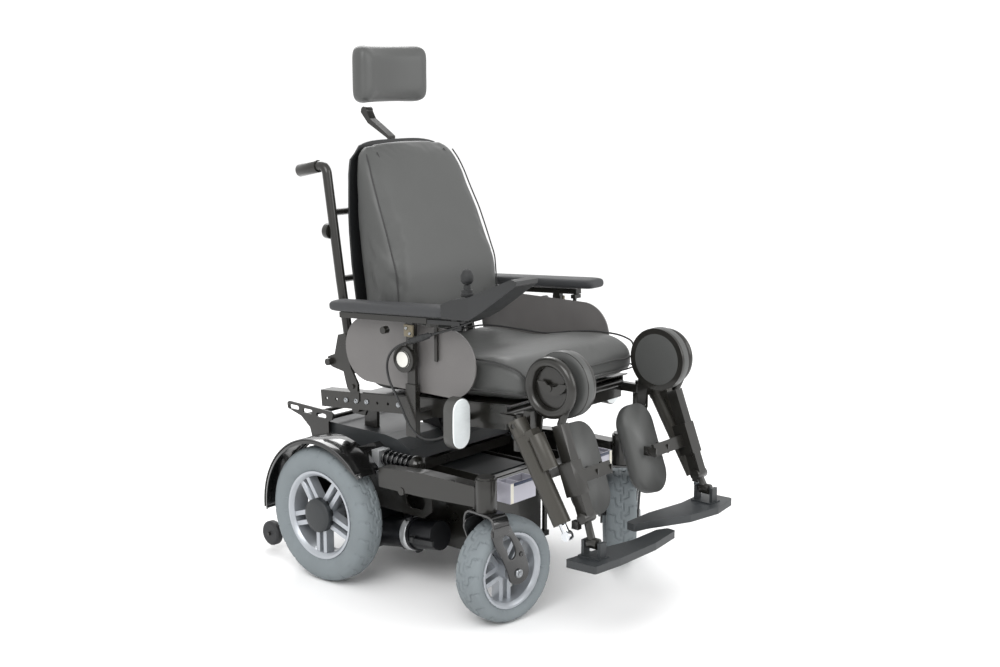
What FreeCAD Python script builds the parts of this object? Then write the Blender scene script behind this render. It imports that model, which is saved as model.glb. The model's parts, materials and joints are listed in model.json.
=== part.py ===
"""Power wheelchair: a parametric FreeCAD document of its frame, drive, seat and leg rests.

Chair frame while modelling: X forward from the rear (drive) axle, Y to the left, Z up from the
ground, mid-plane at Y = 0, millimetres. The sheet's origin_shift moves the whole chair so that its
origin is under the middle of its bounding box, on the ground.
"""
import FreeCAD
import Part

import math
import os

import Sketcher

Vector = FreeCAD.Vector
Rotation = FreeCAD.Rotation

SIZES = {
    # whole chair
    "origin_shift_x": -272.0,
    "origin_shift_y": -44.147,
    "axle_height": 178.0,
    "running_gap": 0.08,
    # drive wheels
    "drive_wheel_radius": 178.0,
    "drive_tyre_width": 78.0,
    "drive_rim_radius": 116.0,
    "drive_rim_width": 64.0,
    "drive_wheel_y": 297.0,
    "drive_axle_radius": 10.0,
    "drive_hub_radius": 34.0,
    "spoke_thickness": 12.0,
    "spoke_depth": 26.0,
    # casters
    "caster_radius": 130.0,
    "caster_tyre_width": 80.0,
    "caster_rim_radius": 94.0,
    "caster_rim_width": 62.0,
    "caster_stem_x": 525.0,
    "caster_stem_y": 272.0,
    "caster_trail": 57.0,
    "caster_axle_radius": 8.0,
    "caster_stem_radius": 12.0,
    "right_caster_angle": 83.3,
    "left_caster_angle": 129.25,
    "fork_strap": 6.0,
    "fork_strap_width": 50.0,
    "fork_gap": 92.0,
    "fork_top": 283.0,
    # chassis
    "chassis_side_y": 195.0,
    "chassis_plate": 5.0,
    "tray_wall": 3.0,
    "tray_rear": -165.0,
    "tray_length": 560.0,
    "tray_width": 190.0,
    "tray_bottom": 88.0,
    "tray_height": 212.0,
    "battery_length": 250.0,
    "battery_width": 172.0,
    "battery_height": 202.0,
    "cover_wall": 3.0,
    "cover_width": 380.0,
    # motors
    "motor_radius": 38.0,
    "motor_length": 205.0,
    "motor_pitch": 9.0,
    "motor_y": 160.0,
    "gearbox_width": 112.0,
    "lever_length": 74.0,
    # mudguards
    "guard_radius": 203.0,
    "guard_wall": 3.0,
    "guard_width": 84.0,
    "guard_sweep": 142.0,
    # caster arm and suspension
    "arm_pivot_x": 262.0,
    "arm_pivot_z": 285.0,
    "arm_width": 38.0,
    "arm_y": 271.0,
    "pivot_pin_radius": 10.0,
    "head_tube_radius": 26.0,
    "head_tube_height": 78.0,
    "spring_radius": 24.0,
    "spring_wire": 7.0,
    "shock_y": 222.0,
    "shock_z": 335.0,
    # anti-tip wheels
    "anti_tip_radius": 34.0,
    "anti_tip_width": 24.0,
    "anti_tip_x": -288.0,
    "anti_tip_y": 240.0,
    "anti_tip_z": 46.0,
    # seat unit
    "seat_pivot_x": 20.0,
    "seat_pivot_z": 440.0,
    "seat_pitch": 5.0,
    "rail_y": 232.0,
    "rail_height": 44.0,
    "rail_thickness": 5.0,
    "rail_length": 640.0,
    "rail_hole_radius": 4.0,
    "rail_hole_pitch": 38.0,
    "cushion_width": 480.0,
    "cushion_round": 16.0,
    "pan_thickness": 3.0,
    # backrest
    "recline_x": 48.0,
    "recline_z": 511.0,
    "cane_radius": 12.5,
    "cane_y": 228.0,
    "grip_radius": 16.0,
    "grip_length": 72.0,
    "back_width": 400.0,
    "back_round": 18.0,
    "headrest_width": 252.0,
    "headrest_height": 152.0,
    "headrest_depth": 66.0,
    # armrests
    "armrest_y": 290.0,
    "armrest_pad_width": 64.0,
    "armrest_pad_length": 396.0,
    "armrest_pad_height": 30.0,
    "side_guard_y": 262.0,
    "side_guard_length": 440.0,
    "side_guard_height": 166.0,
    "side_guard_wall": 4.0,
    "post_hub_radius": 33.0,
    "slider_width": 26.0,
    "slider_depth": 9.0,
    "socket_wall": 3.0,
    # joystick
    "module_width": 76.0,
    "stick_radius": 5.0,
    "power_button_radius": 6.0,
    "cable_radius": 3.0,
    # leg rests
    "leg_y": 232.0,
    "knee_x": 689.0,
    "knee_z": 601.0,
    "knee_ring_radius": 60.0,
    "knee_tube_radius": 12.0,
    "knee_pad_radius": 78.0,
    "knee_pad_depth": 28.0,
    "knee_pad_y": 190.0,
    "swing_pin_x": 600.0,
    "swing_pin_y": 238.0,
    "swing_pin_radius": 9.0,
    "leg_tube_size": 28.0,
    "actuator_radius": 21.5,
    "actuator_y": 272.0,
    "actuator_rod_radius": 9.0,
    "calf_width": 110.0,
    "calf_height": 225.0,
    "calf_depth": 44.0,
    "plate_thickness": 18.0,
    # lamps
    "lamp_width": 62.0,
    "lamp_height": 124.0,
    "lamp_depth": 28.0,
    "lamp_y": 300.0,
}

doc = FreeCAD.newDocument("power_wheelchair")
sheet = doc.addObject("Spreadsheet::Sheet", "dims")
for row, (alias, value) in enumerate(SIZES.items(), start=1):
    sheet.set("A%d" % row, alias.replace("_", " "))
    sheet.set("B%d" % row, str(value))
    sheet.setAlias("B%d" % row, alias)
doc.recompute()

subparts = []
RIGHT, LEFT = -1, 1
SIDES = ((RIGHT, "right"), (LEFT, "left"))


def size(alias):
    """The sheet's value of one driving dimension."""
    return float(sheet.get(alias))


def bind(piece, **sizes):
    """Bind properties to expressions on the sheet's aliases, or to plain numbers."""
    for prop, expression in sizes.items():
        words = [("dims." + word if word in SIZES else word) for word in str(expression).split()]
        piece.setExpression(prop, " ".join(words))
    piece.recompute()
    return piece


def turn(axis, degrees):
    """A rotation about an axis."""
    return Rotation(Vector(*axis), degrees)


def block(name, length, width, height, at, rotation=Rotation()):
    """A box centred on a point."""
    piece = bind(doc.addObject("Part::Box", name), Length=length, Width=width, Height=height)
    half = Vector(piece.Length.Value, piece.Width.Value, piece.Height.Value) * 0.5
    piece.Placement = FreeCAD.Placement(Vector(*at) - rotation.multVec(half), rotation)
    return piece


def round_bar(name, radius, length, at, axis, centred=False):
    """A cylinder that starts at a point, or is centred on it, along an axis."""
    piece = bind(doc.addObject("Part::Cylinder", name), Radius=radius, Height=length)
    rotation = Rotation(Vector(0, 0, 1), Vector(*axis))
    start = Vector(*at)
    if centred:
        start = start - rotation.multVec(Vector(0, 0, piece.Height.Value / 2))
    piece.Placement = FreeCAD.Placement(start, rotation)
    return piece


def bar_between(name, radius, start, end):
    """A round bar from one point to another."""
    run = Vector(*end) - Vector(*start)
    return round_bar(name, radius, run.Length, start, tuple(run))


def ring(name, major, minor, at, axis):
    """A torus."""
    piece = bind(doc.addObject("Part::Torus", name), Radius1=major, Radius2=minor)
    piece.Placement = FreeCAD.Placement(Vector(*at), Rotation(Vector(0, 0, 1), Vector(*axis)))
    return piece


def fuse(name, pieces):
    """One solid of several that overlap."""
    joined = doc.addObject("Part::MultiFuse", name)
    joined.Shapes = list(pieces)
    joined.recompute()
    return joined


def cut(name, base, tools):
    """A solid less its tools."""
    tool = tools[0] if len(tools) == 1 else fuse(name + "_tool", tools)
    piece = doc.addObject("Part::Cut", name)
    piece.Base, piece.Tool = base, tool
    piece.recompute()
    return piece


def group(name, pieces):
    """Separate solids of one node."""
    piece = doc.addObject("Part::Compound", name)
    piece.Links = list(pieces)
    piece.recompute()
    return piece


def outline(body, points, circles=(), plane="XZ_Plane"):
    """A fully constrained sketch of straight edges, with round holes, on an origin plane."""
    face = [item for item in body.Origin.OriginFeatures if item.Role == plane][0]
    sketch = body.newObject("Sketcher::SketchObject", body.Name + "_sketch")
    sketch.AttachmentSupport = [(face, "")]
    sketch.MapMode = "FlatFace"
    count = len(points)
    for index, point in enumerate(points):
        following = points[(index + 1) % count]
        sketch.addGeometry(Part.LineSegment(Vector(*point, 0), Vector(*following, 0)), False)
    for index in range(count):
        sketch.addConstraint(Sketcher.Constraint("Coincident", index, 2, (index + 1) % count, 1))
    for index, (across, up) in enumerate(points):
        sketch.addConstraint(Sketcher.Constraint("DistanceX", -1, 1, index, 1, float(across)))
        sketch.addConstraint(Sketcher.Constraint("DistanceY", -1, 1, index, 1, float(up)))
    for across, up, radius in circles:
        circle = sketch.addGeometry(Part.Circle(Vector(across, up, 0), Vector(0, 0, 1), radius), False)
        sketch.addConstraint(Sketcher.Constraint("DistanceX", -1, 1, circle, 3, float(across)))
        sketch.addConstraint(Sketcher.Constraint("DistanceY", -1, 1, circle, 3, float(up)))
        sketch.addConstraint(Sketcher.Constraint("Radius", circle, float(radius)))
    return sketch


def side_plate(name, points, thickness, at_y, circles=(), rounding=0, all_round=False):
    """A plate or padded block whose outline lies in the XZ plane, centred on a Y value."""
    body = doc.addObject("PartDesign::Body", name)
    pad = body.newObject("PartDesign::Pad", name + "_pad")
    pad.Profile = outline(body, points, circles)
    body.Tip = pad
    pad.Midplane = True
    bind(pad, Length=thickness)
    doc.recompute()
    if rounding:
        edges = []
        for index, edge in enumerate(pad.Shape.Edges, start=1):
            along_y = abs(edge.Length - pad.Length.Value) < 1e-6 and edge.BoundBox.YLength > 0.9 * edge.Length
            if all_round or along_y:
                edges.append("Edge%d" % index)
        fillet = body.newObject("PartDesign::Fillet", name + "_round")
        fillet.Base = (pad, edges)
        body.Tip = fillet
        bind(fillet, Radius=rounding)
    body.Placement.Base = Vector(0, at_y, 0)
    doc.recompute()
    return body


def flat_plate(name, points, thickness, at_z, rounding=0):
    """A plate whose outline lies in the XY plane, centred on a Z value."""
    body = doc.addObject("PartDesign::Body", name)
    pad = body.newObject("PartDesign::Pad", name + "_pad")
    pad.Profile = outline(body, points, plane="XY_Plane")
    body.Tip = pad
    pad.Midplane = True
    bind(pad, Length=thickness)
    doc.recompute()
    if rounding:
        edges = ["Edge%d" % index for index, edge in enumerate(pad.Shape.Edges, start=1)
                 if edge.BoundBox.ZLength > 0.9 * pad.Length.Value]
        fillet = body.newObject("PartDesign::Fillet", name + "_round")
        fillet.Base = (pad, edges)
        body.Tip = fillet
        bind(fillet, Radius=rounding)
    body.Placement.Base = Vector(0, 0, at_z)
    doc.recompute()
    return body


def turned(name, profile, at, axis):
    """A turned solid: the profile is (along the axis, out from it) and the axis passes a point."""
    body = doc.addObject("PartDesign::Body", name)
    lathe = body.newObject("PartDesign::Revolution", name + "_turned")
    sketch = outline(body, profile, plane="XY_Plane")
    lathe.Profile = sketch
    lathe.ReferenceAxis = (sketch, ["H_Axis"])
    lathe.Angle = 360
    body.Tip = lathe
    body.Placement = FreeCAD.Placement(Vector(*at), Rotation(Vector(1, 0, 0), Vector(*axis)))
    doc.recompute()
    return body


def slot_tool(name, length, height, at, rotation=Rotation(), depth=40):
    """A round-ended slot through a plate that lies in the XZ plane."""
    middle = block(name + "_mid", length - height, depth, height, at, rotation)
    ends = []
    for side in (-1, 1):
        offset = rotation.multVec(Vector(side * (length - height) / 2, 0, 0))
        ends.append(round_bar(name + "_end", height / 2, depth, Vector(*at) + offset, (0, 1, 0), True))
    return fuse(name, [middle] + ends)


def bent_tube(name, points, radius, bend):
    """A round tube along straight runs joined by tangent arcs of one bend radius."""
    corners = [Vector(*point) for point in points]
    edges, start = [], corners[0]
    for before, corner, after in zip(corners, corners[1:], corners[2:]):
        inward, outward = (before - corner).normalize(), (after - corner).normalize()
        half = inward.getAngle(outward) / 2
        reach = bend / math.tan(half)
        middle = corner + (inward + outward).normalize() * (bend / math.sin(half) - bend)
        first, last = corner + inward * reach, corner + outward * reach
        edges += [Part.LineSegment(start, first).toShape(), Part.Arc(first, middle, last).toShape()]
        start = last
    edges.append(Part.LineSegment(start, corners[-1]).toShape())
    spine = doc.addObject("Part::Feature", name + "_path")
    spine.Shape = Part.Wire(edges)
    section = bind(doc.addObject("Part::Circle", name + "_section"), Radius=radius)
    section.Placement = FreeCAD.Placement(corners[0], Rotation(Vector(0, 0, 1), corners[1] - corners[0]))
    tube = doc.addObject("Part::Sweep", name)
    tube.Sections = [section]
    tube.Spine = (spine, ["Edge%d" % (index + 1) for index in range(len(edges))])
    tube.Solid = True
    doc.recompute()
    return tube


def subpart(label, piece):
    """Name a finished sub-part and move it to the origin under the chair's middle."""
    piece.Label = label
    shift = Vector(size("origin_shift_x"), size("origin_shift_y"), 0)
    piece.Placement = FreeCAD.Placement(shift, Rotation()).multiply(piece.Placement)
    subparts.append(piece)
    return piece


def fixed(name, piece):
    """A sub-part whose solid keeps its place, with the shift on a compound around it."""
    return subpart(name, group(name + "_node", [piece]))


# ---------------------------------------------------------------- wheels

def wheel_rim(name, centre, axis, outer, width, hub, bore, sign):
    """A five twin-spoke cast rim with a hub and a bore, facing outward along sign * axis."""
    half = width / 2
    barrel = turned(name + "_barrel", [(-half, outer), (half, outer), (half, outer - 6), (half - 8,
            outer - 14),
                                       (-half + 8, outer - 14), (-half, outer - 6)], centre, axis)
    hub_bar = round_bar(name + "_hub", hub, width - 4, centre, axis, True)
    pieces = [barrel, hub_bar]
    frame = Rotation(Vector(0, 1, 0), Vector(*axis))
    reach = outer - 10
    for spoke in range(5):
        for offset in (-0.5, 0.5):
            about = Rotation(Vector(0, 1, 0), 72 * spoke + 18)
            rotation = frame.multiply(about)
            middle = Vector(reach / 2 + 6, sign * (width / 2 - 22), offset * 26)
            pieces.append(block(name + "_spoke", reach - 16, "spoke_depth", "spoke_thickness",
                                Vector(*centre) + rotation.multVec(middle), rotation))
    solid = fuse(name + "_solid", pieces)
    if not bore:
        return solid
    return cut(name + "_bored", solid, [round_bar(name + "_bore", bore, width + 20, centre, axis, True)])


def tyre(name, centre, axis, outer, width, bead):
    """A pneumatic tyre as a turned ring with a rounded crown."""
    half = width / 2
    profile = [(-half * 0.76, bead + 0.4), (half * 0.76, bead + 0.4), (half * 0.95, bead + 12),
               (half, bead + (outer - bead) * 0.5), (half * 0.92, bead + (outer - bead) * 0.78),
               (half * 0.6, outer - 4), (half * 0.25, outer), (-half * 0.25, outer), (-half * 0.6, outer - 4),
               (-half * 0.92, bead + (outer - bead) * 0.78), (-half, bead + (outer - bead) * 0.5),
               (-half * 0.95, bead + 12)]
    return turned(name, profile, centre, axis)


def drive_wheels():
    """Tyre, and rim with axle stub and hub cap, of each drive wheel."""
    for side, word in SIDES:
        centre = (0, side * size("drive_wheel_y"), size("axle_height"))
        fixed("drive_tyre_" + word, tyre("drive_tyre_ring_" + word, centre, (0, 1, 0),
                                         size("drive_wheel_radius"),
                                         size("drive_tyre_width"), size("drive_rim_radius")))
        rim = wheel_rim("drive_rim_" + word, centre, (0, 1, 0), size("drive_rim_radius"),
                        size("drive_rim_width"), size("drive_hub_radius"), 0, side)
        axle = round_bar("drive_axle_" + word, "drive_axle_radius", 160, (0, side * 130, centre[2]), (0,
                side, 0))
        cap = round_bar("drive_cap_" + word, 31, 12, (0, side * 325, centre[2]), (0, side, 0))
        fixed("drive_rim_" + word, fuse("drive_rim_all_" + word, [rim, axle, cap]))


def anti_tip_wheels():
    """A small solid wheel on each anti-tip arm."""
    for side, word in SIDES:
        centre = (size("anti_tip_x"), side * size("anti_tip_y"), size("anti_tip_z"))
        half = size("anti_tip_width") / 2
        radius = size("anti_tip_radius")
        wheel = turned("anti_tip_" + word, [(-half, 5.08), (half, 5.08), (half, radius - 6), (half - 5,
                radius),
                                            (-half + 5, radius), (-half, radius - 6)], centre, (0, 1, 0))
        fixed("anti_tip_wheel_" + word, wheel)


# ---------------------------------------------------------------- chassis

def chassis_frame():
    """Side plates with a hand opening, battery tray, cross members, seat pivot and anti-tip arms."""
    side_y = size("chassis_side_y")
    pieces = []
    for side, word in SIDES:
        outline_points = [(-60, 325), (-60, 230), (-42, 210), (62, 210), (80, 190), (250, 190), (278, 212),
                          (278, 258), (400, 258), (460, 290), (460, 300),
                          (380, 308), (300, 308), (215, 308), (200, 325)]
        plate = side_plate("chassis_side_" + word, outline_points, "chassis_plate", side * side_y, rounding=2)
        opening = slot_tool("hand_opening_" + word, 66, 38, (221, side * side_y, 228))
        pieces.append(cut("chassis_side_open_" + word, plate, [opening]))
        pieces.append(round_bar("arm_pin_" + word, "pivot_pin_radius", 100, (size("arm_pivot_x"),
                side * 192, size("arm_pivot_z")),
                                (0, side, 0)))
        pieces.append(bar_between("front_post_" + word, 7, (372, side * 140, 95), (372, side * 140, 284)))
        pieces.append(block("anti_tip_arm_" + word, 160, 12, 26, (-228, side * 220, 84), turn((0, 1, 0),
                -28)))
        pieces.append(block("anti_tip_root_" + word, 24, 150, 30, (-168, side * 160, 116)))
        pieces.append(round_bar("anti_tip_axle_" + word, 5, 44, (size("anti_tip_x"), side * 214,
                size("anti_tip_z")), (0, side, 0)))
        pieces.append(block("pivot_ear_" + word, 46, 10, 172, (size("seat_pivot_x"), side * 150, 366)))
        pieces.append(round_bar("pivot_stub_" + word, 9, 60, (size("seat_pivot_x"), side * 146,
                                                              size("seat_pivot_z")), (0, side, 0)))
    tray_middle = size("tray_rear") + size("tray_length") / 2
    shell = block("tray_outer", "tray_length", "tray_width", "tray_height", (tray_middle, 0,
            size("tray_bottom") + size("tray_height") / 2))
    hollow = block("tray_inner", "tray_length - 2 * tray_wall", "tray_width - 2 * tray_wall", "tray_height",
                   (tray_middle, 0, size("tray_bottom") + size("tray_wall") + size("tray_height") / 2))
    pieces.append(cut("battery_tray", shell, [hollow]))
    for x in (-30, 190):
        pieces.append(block("cross_member", 36, 2 * side_y, 24, (x, 0, 312)))
    pieces.append(block("actuator_member", 30, 2 * side_y, 14, (60, 0, 318)))
    for side in (-1, 1):
        pieces.append(block("actuator_ear", 26, 5, 54, (60, side * 13.5, 338)))
    pieces.append(round_bar("actuator_pin", 5, 30, (60, 0, 352), (0, 1, 0), True))
    pieces.append(block("front_member", 40, 2 * side_y, 30, (420, 0, 284)))
    pieces.append(block("front_neck", 60, 150, 34, (400, 0, 270)))
    pieces.append(block("rear_bulkhead", 6, 2 * side_y - 20, 130, (-168, 0, 165)))
    pieces.append(block("post_foot", 20, 294, 14, (372, 0, 95)))
    pieces.append(block("post_head", 60, 294, 14, (384, 0, 284)))
    return fixed("chassis_frame", fuse("chassis_frame_solid", pieces))


GUARD_STAY_ANGLES = (62, 128)


def guard_stay(angle, side):
    """Flat stay of a mudguard, at an angle round the drive axle."""
    reach = size("guard_radius") - 1.5
    turned_by = math.radians(angle)
    x, z = 2 + reach * math.cos(turned_by), size("axle_height") + reach * math.sin(turned_by)
    return block("guard_stay", 24, 88, 4, (x, side * 224, z), turn((0, 1, 0), 90 - angle))


def power_pack():
    """Two sealed batteries in line, the lid over them and the controller behind."""
    cells = []
    for index, x in enumerate((-29, 226)):
        cells.append(block("battery_%d" % index, "battery_length", "battery_width", "battery_height", (x, 0,
                92 + size("battery_height") / 2)))
    subpart("battery_pack", group("battery_pack", cells))
    outer = [(-150, 330), (-150, 372), (-132, 384), (110, 384), (150, 378), (196, 358), (204, 330)]
    inner = [(-146, 326), (-146, 370), (-130, 380), (110, 380), (148, 374), (192, 355), (200, 326)]
    hood = side_plate("cover_outer", outer, "cover_width", 0)
    hollow = side_plate("cover_inner", inner, "cover_width - 2 * cover_wall", 0)
    notches = [block("cover_notch", 50, 14, 70, (size("seat_pivot_x"), side * 150, 370)) for side in (-1, 1)]
    notches.append(block("cover_slot", 150, 66, 80, (100, 0, 370)))
    notches += [guard_stay(angle, side) for angle in GUARD_STAY_ANGLES for side in (-1, 1)]
    fixed("battery_cover", cut("battery_cover_solid", hood, [hollow] + notches))
    case = block("power_case", 56, 180, 110, (-204, 0, 250))
    fins = [block("power_fin", 8, 3, 100, (-235, y, 250)) for y in range(-80, 81, 20)]
    lugs = [block("power_lug", 12, 30, 14, (-172, y, 300)) for y in (-70, 70)]
    fixed("power_module", fuse("power_module_solid", [case] + fins + lugs))


def front_fascia():
    """Silver extruded boxes on the chassis nose, beside each head tube."""
    boxes = []
    for side, word in SIDES:
        y = side * 156
        shell = block("fascia_outer_" + word, 44, 96, 51, (521, y, 313))
        hollow = block("fascia_inner_" + word, 38, 90, 60, (521, y, 313))
        web = block("fascia_web_" + word, 38.5, 3, 51, (521, y + side * 16, 313))
        bracket = block("fascia_bracket_" + word, 60, 60, 8, (470, y, 312))
        boxes.append(fuse("fascia_" + word, [cut("fascia_tube_" + word, shell, [hollow]), web, bracket]))
    subpart("front_fascia", group("front_fascia", boxes))


def drive_motors():
    """Right-angle gearmotors, one per drive wheel, with a freewheel lever on each."""
    motors = []
    pitch = math.radians(size("motor_pitch"))
    axis = (math.cos(pitch), 0, math.sin(pitch))
    for side, word in SIDES:
        y = side * size("motor_y")
        gearbox = side_plate("gearbox_" + word, [(-48, 206), (-48, 140), (-10, 76), (72, 66), (78, 150),
                                                 (44, 206)],
                             "gearbox_width", side * 158, rounding=10)
        flange = round_bar("motor_flange_" + word, 46, 34, (0, side * 200, size("axle_height")), (0, side, 0))
        motor = round_bar("motor_can_" + word, "motor_radius", "motor_length", (70, y, 108), axis)
        lugs = round_bar("motor_lug_" + word, 11, 104, (178, y, 125), (-axis[2] * 0.6, 0.3 * side, axis[0]),
                         True)
        collar = round_bar("motor_collar_" + word, 43, 40, (158, y, 121.9), axis)
        solid = fuse("motor_solid_" + word, [gearbox, flange, motor, lugs, collar])
        bore = round_bar("motor_bore_" + word, "drive_axle_radius + running_gap", 130, (0, side * 126,
                size("axle_height")), (0, side, 0))
        motors.append(cut("motor_" + word, solid, [bore]))
        hub = round_bar("lever_hub_" + word, 8, 14, (222, side * 212, 125), (0, 0, 1))
        blade = block("lever_blade_" + word, "lever_length", 6, 13, (258, side * 212, 132), turn((0, 1, 0),
                -5))
        fixed("freewheel_lever_" + word, fuse("freewheel_lever_solid_" + word, [hub, blade]))
    subpart("drive_motors", group("drive_motors", motors))


def mudguards():
    """A curved guard over each drive wheel, on two stays."""
    guards = []
    for side, word in SIDES:
        y = side * (size("drive_wheel_y") + 1)
        parts = []
        for suffix, radius, width in (("outer", "guard_radius", "guard_width"), ("inner",
                "guard_radius - guard_wall", "guard_width + 4")):
            disc = bind(doc.addObject("Part::Cylinder", "guard_%s_%s" % (suffix, word)), Radius=radius,
                        Height=width, Angle="guard_sweep")
            half = disc.Height.Value / 2
            sector = Rotation(Vector(1, 0, 0), 90).multiply(Rotation(Vector(0, 0, 1), 42))
            disc.Placement = FreeCAD.Placement(Vector(2, y, size("axle_height")) - sector.multVec(Vector(0,
                    0, half)), sector)
            parts.append(disc)
        arc = cut("guard_arc_" + word, parts[0], [parts[1]])
        stays = [guard_stay(angle, side) for angle in GUARD_STAY_ANGLES]
        guards.append(fuse("mudguard_" + word, [arc] + stays))
    subpart("mudguards", group("mudguards", guards))


def luggage_rack():
    """Two slotted side brackets joined by cross tubes, behind the seat."""
    pieces = []
    for side, word in SIDES:
        y = side * 200
        points = [(-256, 414), (-254, 400), (-200, 386), (-166, 360), (-152, 318), (-92, 318), (-92, 388),
                  (-78, 394),
                  (-74, 410), (-84, 416), (-250, 420)]
        plate = side_plate("rack_side_" + word, points, 5, y, rounding=3)
        slots = [slot_tool("rack_slot_%s_%d" % (word, index), 38, 12, (-228 + 54 * index, y, 406 - 3 * index))
                 for index in range(3)]
        pieces.append(cut("rack_bracket_" + word, plate, slots))
        pieces.append(block("rack_foot_" + word, 60, 30, 6, (-122, side * 188, 321)))
    pieces.append(round_bar("rack_tube_front", 6, 400, (-80, 0, 402), (0, 1, 0), True))
    pieces.append(round_bar("rack_tube_rear", 6, 400, (-176, 0, 392), (0, 1, 0), True))
    notches = [guard_stay(GUARD_STAY_ANGLES[1], side) for side in (-1, 1)]
    fixed("luggage_rack", cut("luggage_rack_solid", fuse("luggage_rack_body", pieces), notches))


def suspension():
    """Caster arms on chassis pins, with a damper, a spring and a cap on each side."""
    dampers = []
    pivot_x, pivot_z, z = size("arm_pivot_x"), size("arm_pivot_z"), size("shock_z")
    for side, word in SIDES:
        y = side * size("shock_y")
        casting = block("damper_casting_" + word, 26, 40, 52, (124, y, z - 6))
        foot = block("damper_foot_" + word, 28, 25.5, 20, (124, side * 210.25, 314))
        tube = round_bar("damper_tube_" + word, 12, 95, (130, y, z), (1, 0, 0))
        bore = round_bar("damper_bore_" + word, 10, 90, (150, y, z), (1, 0, 0))
        dampers.append(cut("damper_" + word, fuse("damper_body_" + word, [casting, foot, tube]), [bore]))
        coils = []
        for index in range(6):
            coils.append(ring("spring_coil_" + word, "spring_radius - spring_wire", "spring_wire / 1.7",
                              (146 + index * 16.5, y, z), (1, 0, 0.0)))
        sleeve_out = round_bar("spring_sleeve_" + word, 14.5, 96, (139, y, z), (1, 0, 0))
        sleeve_in = round_bar("spring_hole_" + word, 13, 110, (135, y, z), (1, 0, 0))
        fixed("shock_spring_" + word, cut("shock_spring_solid_" + word, fuse("spring_coils_" + word,
                coils + [sleeve_out]), [sleeve_in]))
        beam = side_plate("arm_beam_" + word, [(183, 282), (183, 332), (330, 344), (505, 344), (505, 294),
                                               (330, 284)],
                          "arm_width", side * size("arm_y"), rounding=5)
        boss = round_bar("arm_boss_" + word, 20, 48, (pivot_x, side * 200, pivot_z), (0, side, 0))
        lever = block("arm_lever_" + word, 18, 14, 56, (pivot_x, side * 240, pivot_z + 30))
        cap_arm = block("arm_cap_link_" + word, 18, 26, 16, (pivot_x, side * 232, z))
        rod = round_bar("damper_rod_" + word, 5, 40, (212, y, z), (1, 0, 0))
        cap = turned("shock_cap_" + word, [(0, 0), (0, 24), (10, 24), (20, 18), (24, 10), (24, 0)], (246, y,
                z), (1, 0, 0))
        tube_at = (size("caster_stem_x"), side * size("caster_stem_y"), 286 + size("head_tube_height") / 2)
        head = round_bar("head_tube_" + word, "head_tube_radius", "head_tube_height", tube_at, (0, 0, 1),
                         True)
        crown = round_bar("head_cap_" + word, 22, 7, (tube_at[0], tube_at[1], 362), (0, 0, 1))
        arm = fuse("caster_arm_solid_" + word, [beam, boss, lever, cap_arm, rod, cap, head, crown])
        holes = [round_bar("arm_bore_" + word, "pivot_pin_radius + running_gap", 120, (pivot_x, side * 190,
                pivot_z), (0, side, 0)),
                 round_bar("stem_bore_" + word, "caster_stem_radius + running_gap", 66, (tube_at[0],
                         tube_at[1], 280), (0, 0, 1))]
        fixed("caster_arm_" + word, cut("caster_arm_bored_" + word, arm, holes))
    subpart("shock_dampers", group("shock_dampers", dampers))


def casters():
    """Strap fork with its stem and axle, rim and tyre of each caster."""
    stem_x, trail = size("caster_stem_x"), size("caster_trail")
    for side, word in SIDES:
        stem_y = side * size("caster_stem_y")
        angle = size(word + "_caster_angle")
        around = turn((0, 0, 1), angle)
        base = Vector(stem_x, stem_y, 0)
        centre = base + around.multVec(Vector(trail, 0, size("caster_radius")))
        axis = tuple(around.multVec(Vector(0, 1, 0)))
        top = size("fork_top")
        legs = []
        for leg_side in (-1, 1):
            points = [(-25, top), (-25, top - 24), (24, 150), (36, 108), (78, 108), (90, 134), (62, 200),
                      (25, top - 24), (25, top)]
            leg = side_plate("fork_leg_" + word, points, "fork_strap", 0, rounding=8)
            leg.Placement = FreeCAD.Placement(base + around.multVec(Vector(0,
                    leg_side * (size("fork_gap") + 6) / 2, 0)), around)
            slot_at = base + around.multVec(Vector(34, leg_side * (size("fork_gap") + 6) / 2, 210))
            tilt = around.multiply(turn((0, 1, 0), 68))
            window = block("fork_window_" + word, 44, 20, 15, slot_at, tilt)
            legs.append(cut("fork_leg_cut_" + word, leg, [window]))
        crown = block("fork_crown_" + word, "fork_strap_width", "fork_gap + 2 * fork_strap", "fork_strap",
                      base + Vector(0, 0, top - size("fork_strap") / 2), around)
        stem = round_bar("fork_stem_" + word, "caster_stem_radius", 58, base + Vector(0, 0, top - 3), (0, 0,
                1))
        axle = round_bar("caster_axle_" + word, "caster_axle_radius", size("fork_gap") + 20, centre, axis,
                         True)
        fixed("caster_fork_" + word, fuse("caster_fork_solid_" + word, legs + [crown, stem, axle]))
        rim = wheel_rim("caster_rim_" + word, tuple(centre), axis, size("caster_rim_radius"),
                        size("caster_rim_width"),
                        24, size("caster_axle_radius") + size("running_gap"), 1)
        fixed("caster_rim_" + word, rim)
        fixed("caster_tyre_" + word, tyre("caster_tyre_ring_" + word, tuple(centre), axis,
                                          size("caster_radius"),
                                          size("caster_tyre_width"), size("caster_rim_radius")))


# ---------------------------------------------------------------- seat

def along_seat(x, up=0.0):
    """Height of the seat plane at a forward distance, on the pitched seat."""
    return 462 + (x + 60) * math.tan(math.radians(size("seat_pitch"))) + up


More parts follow.
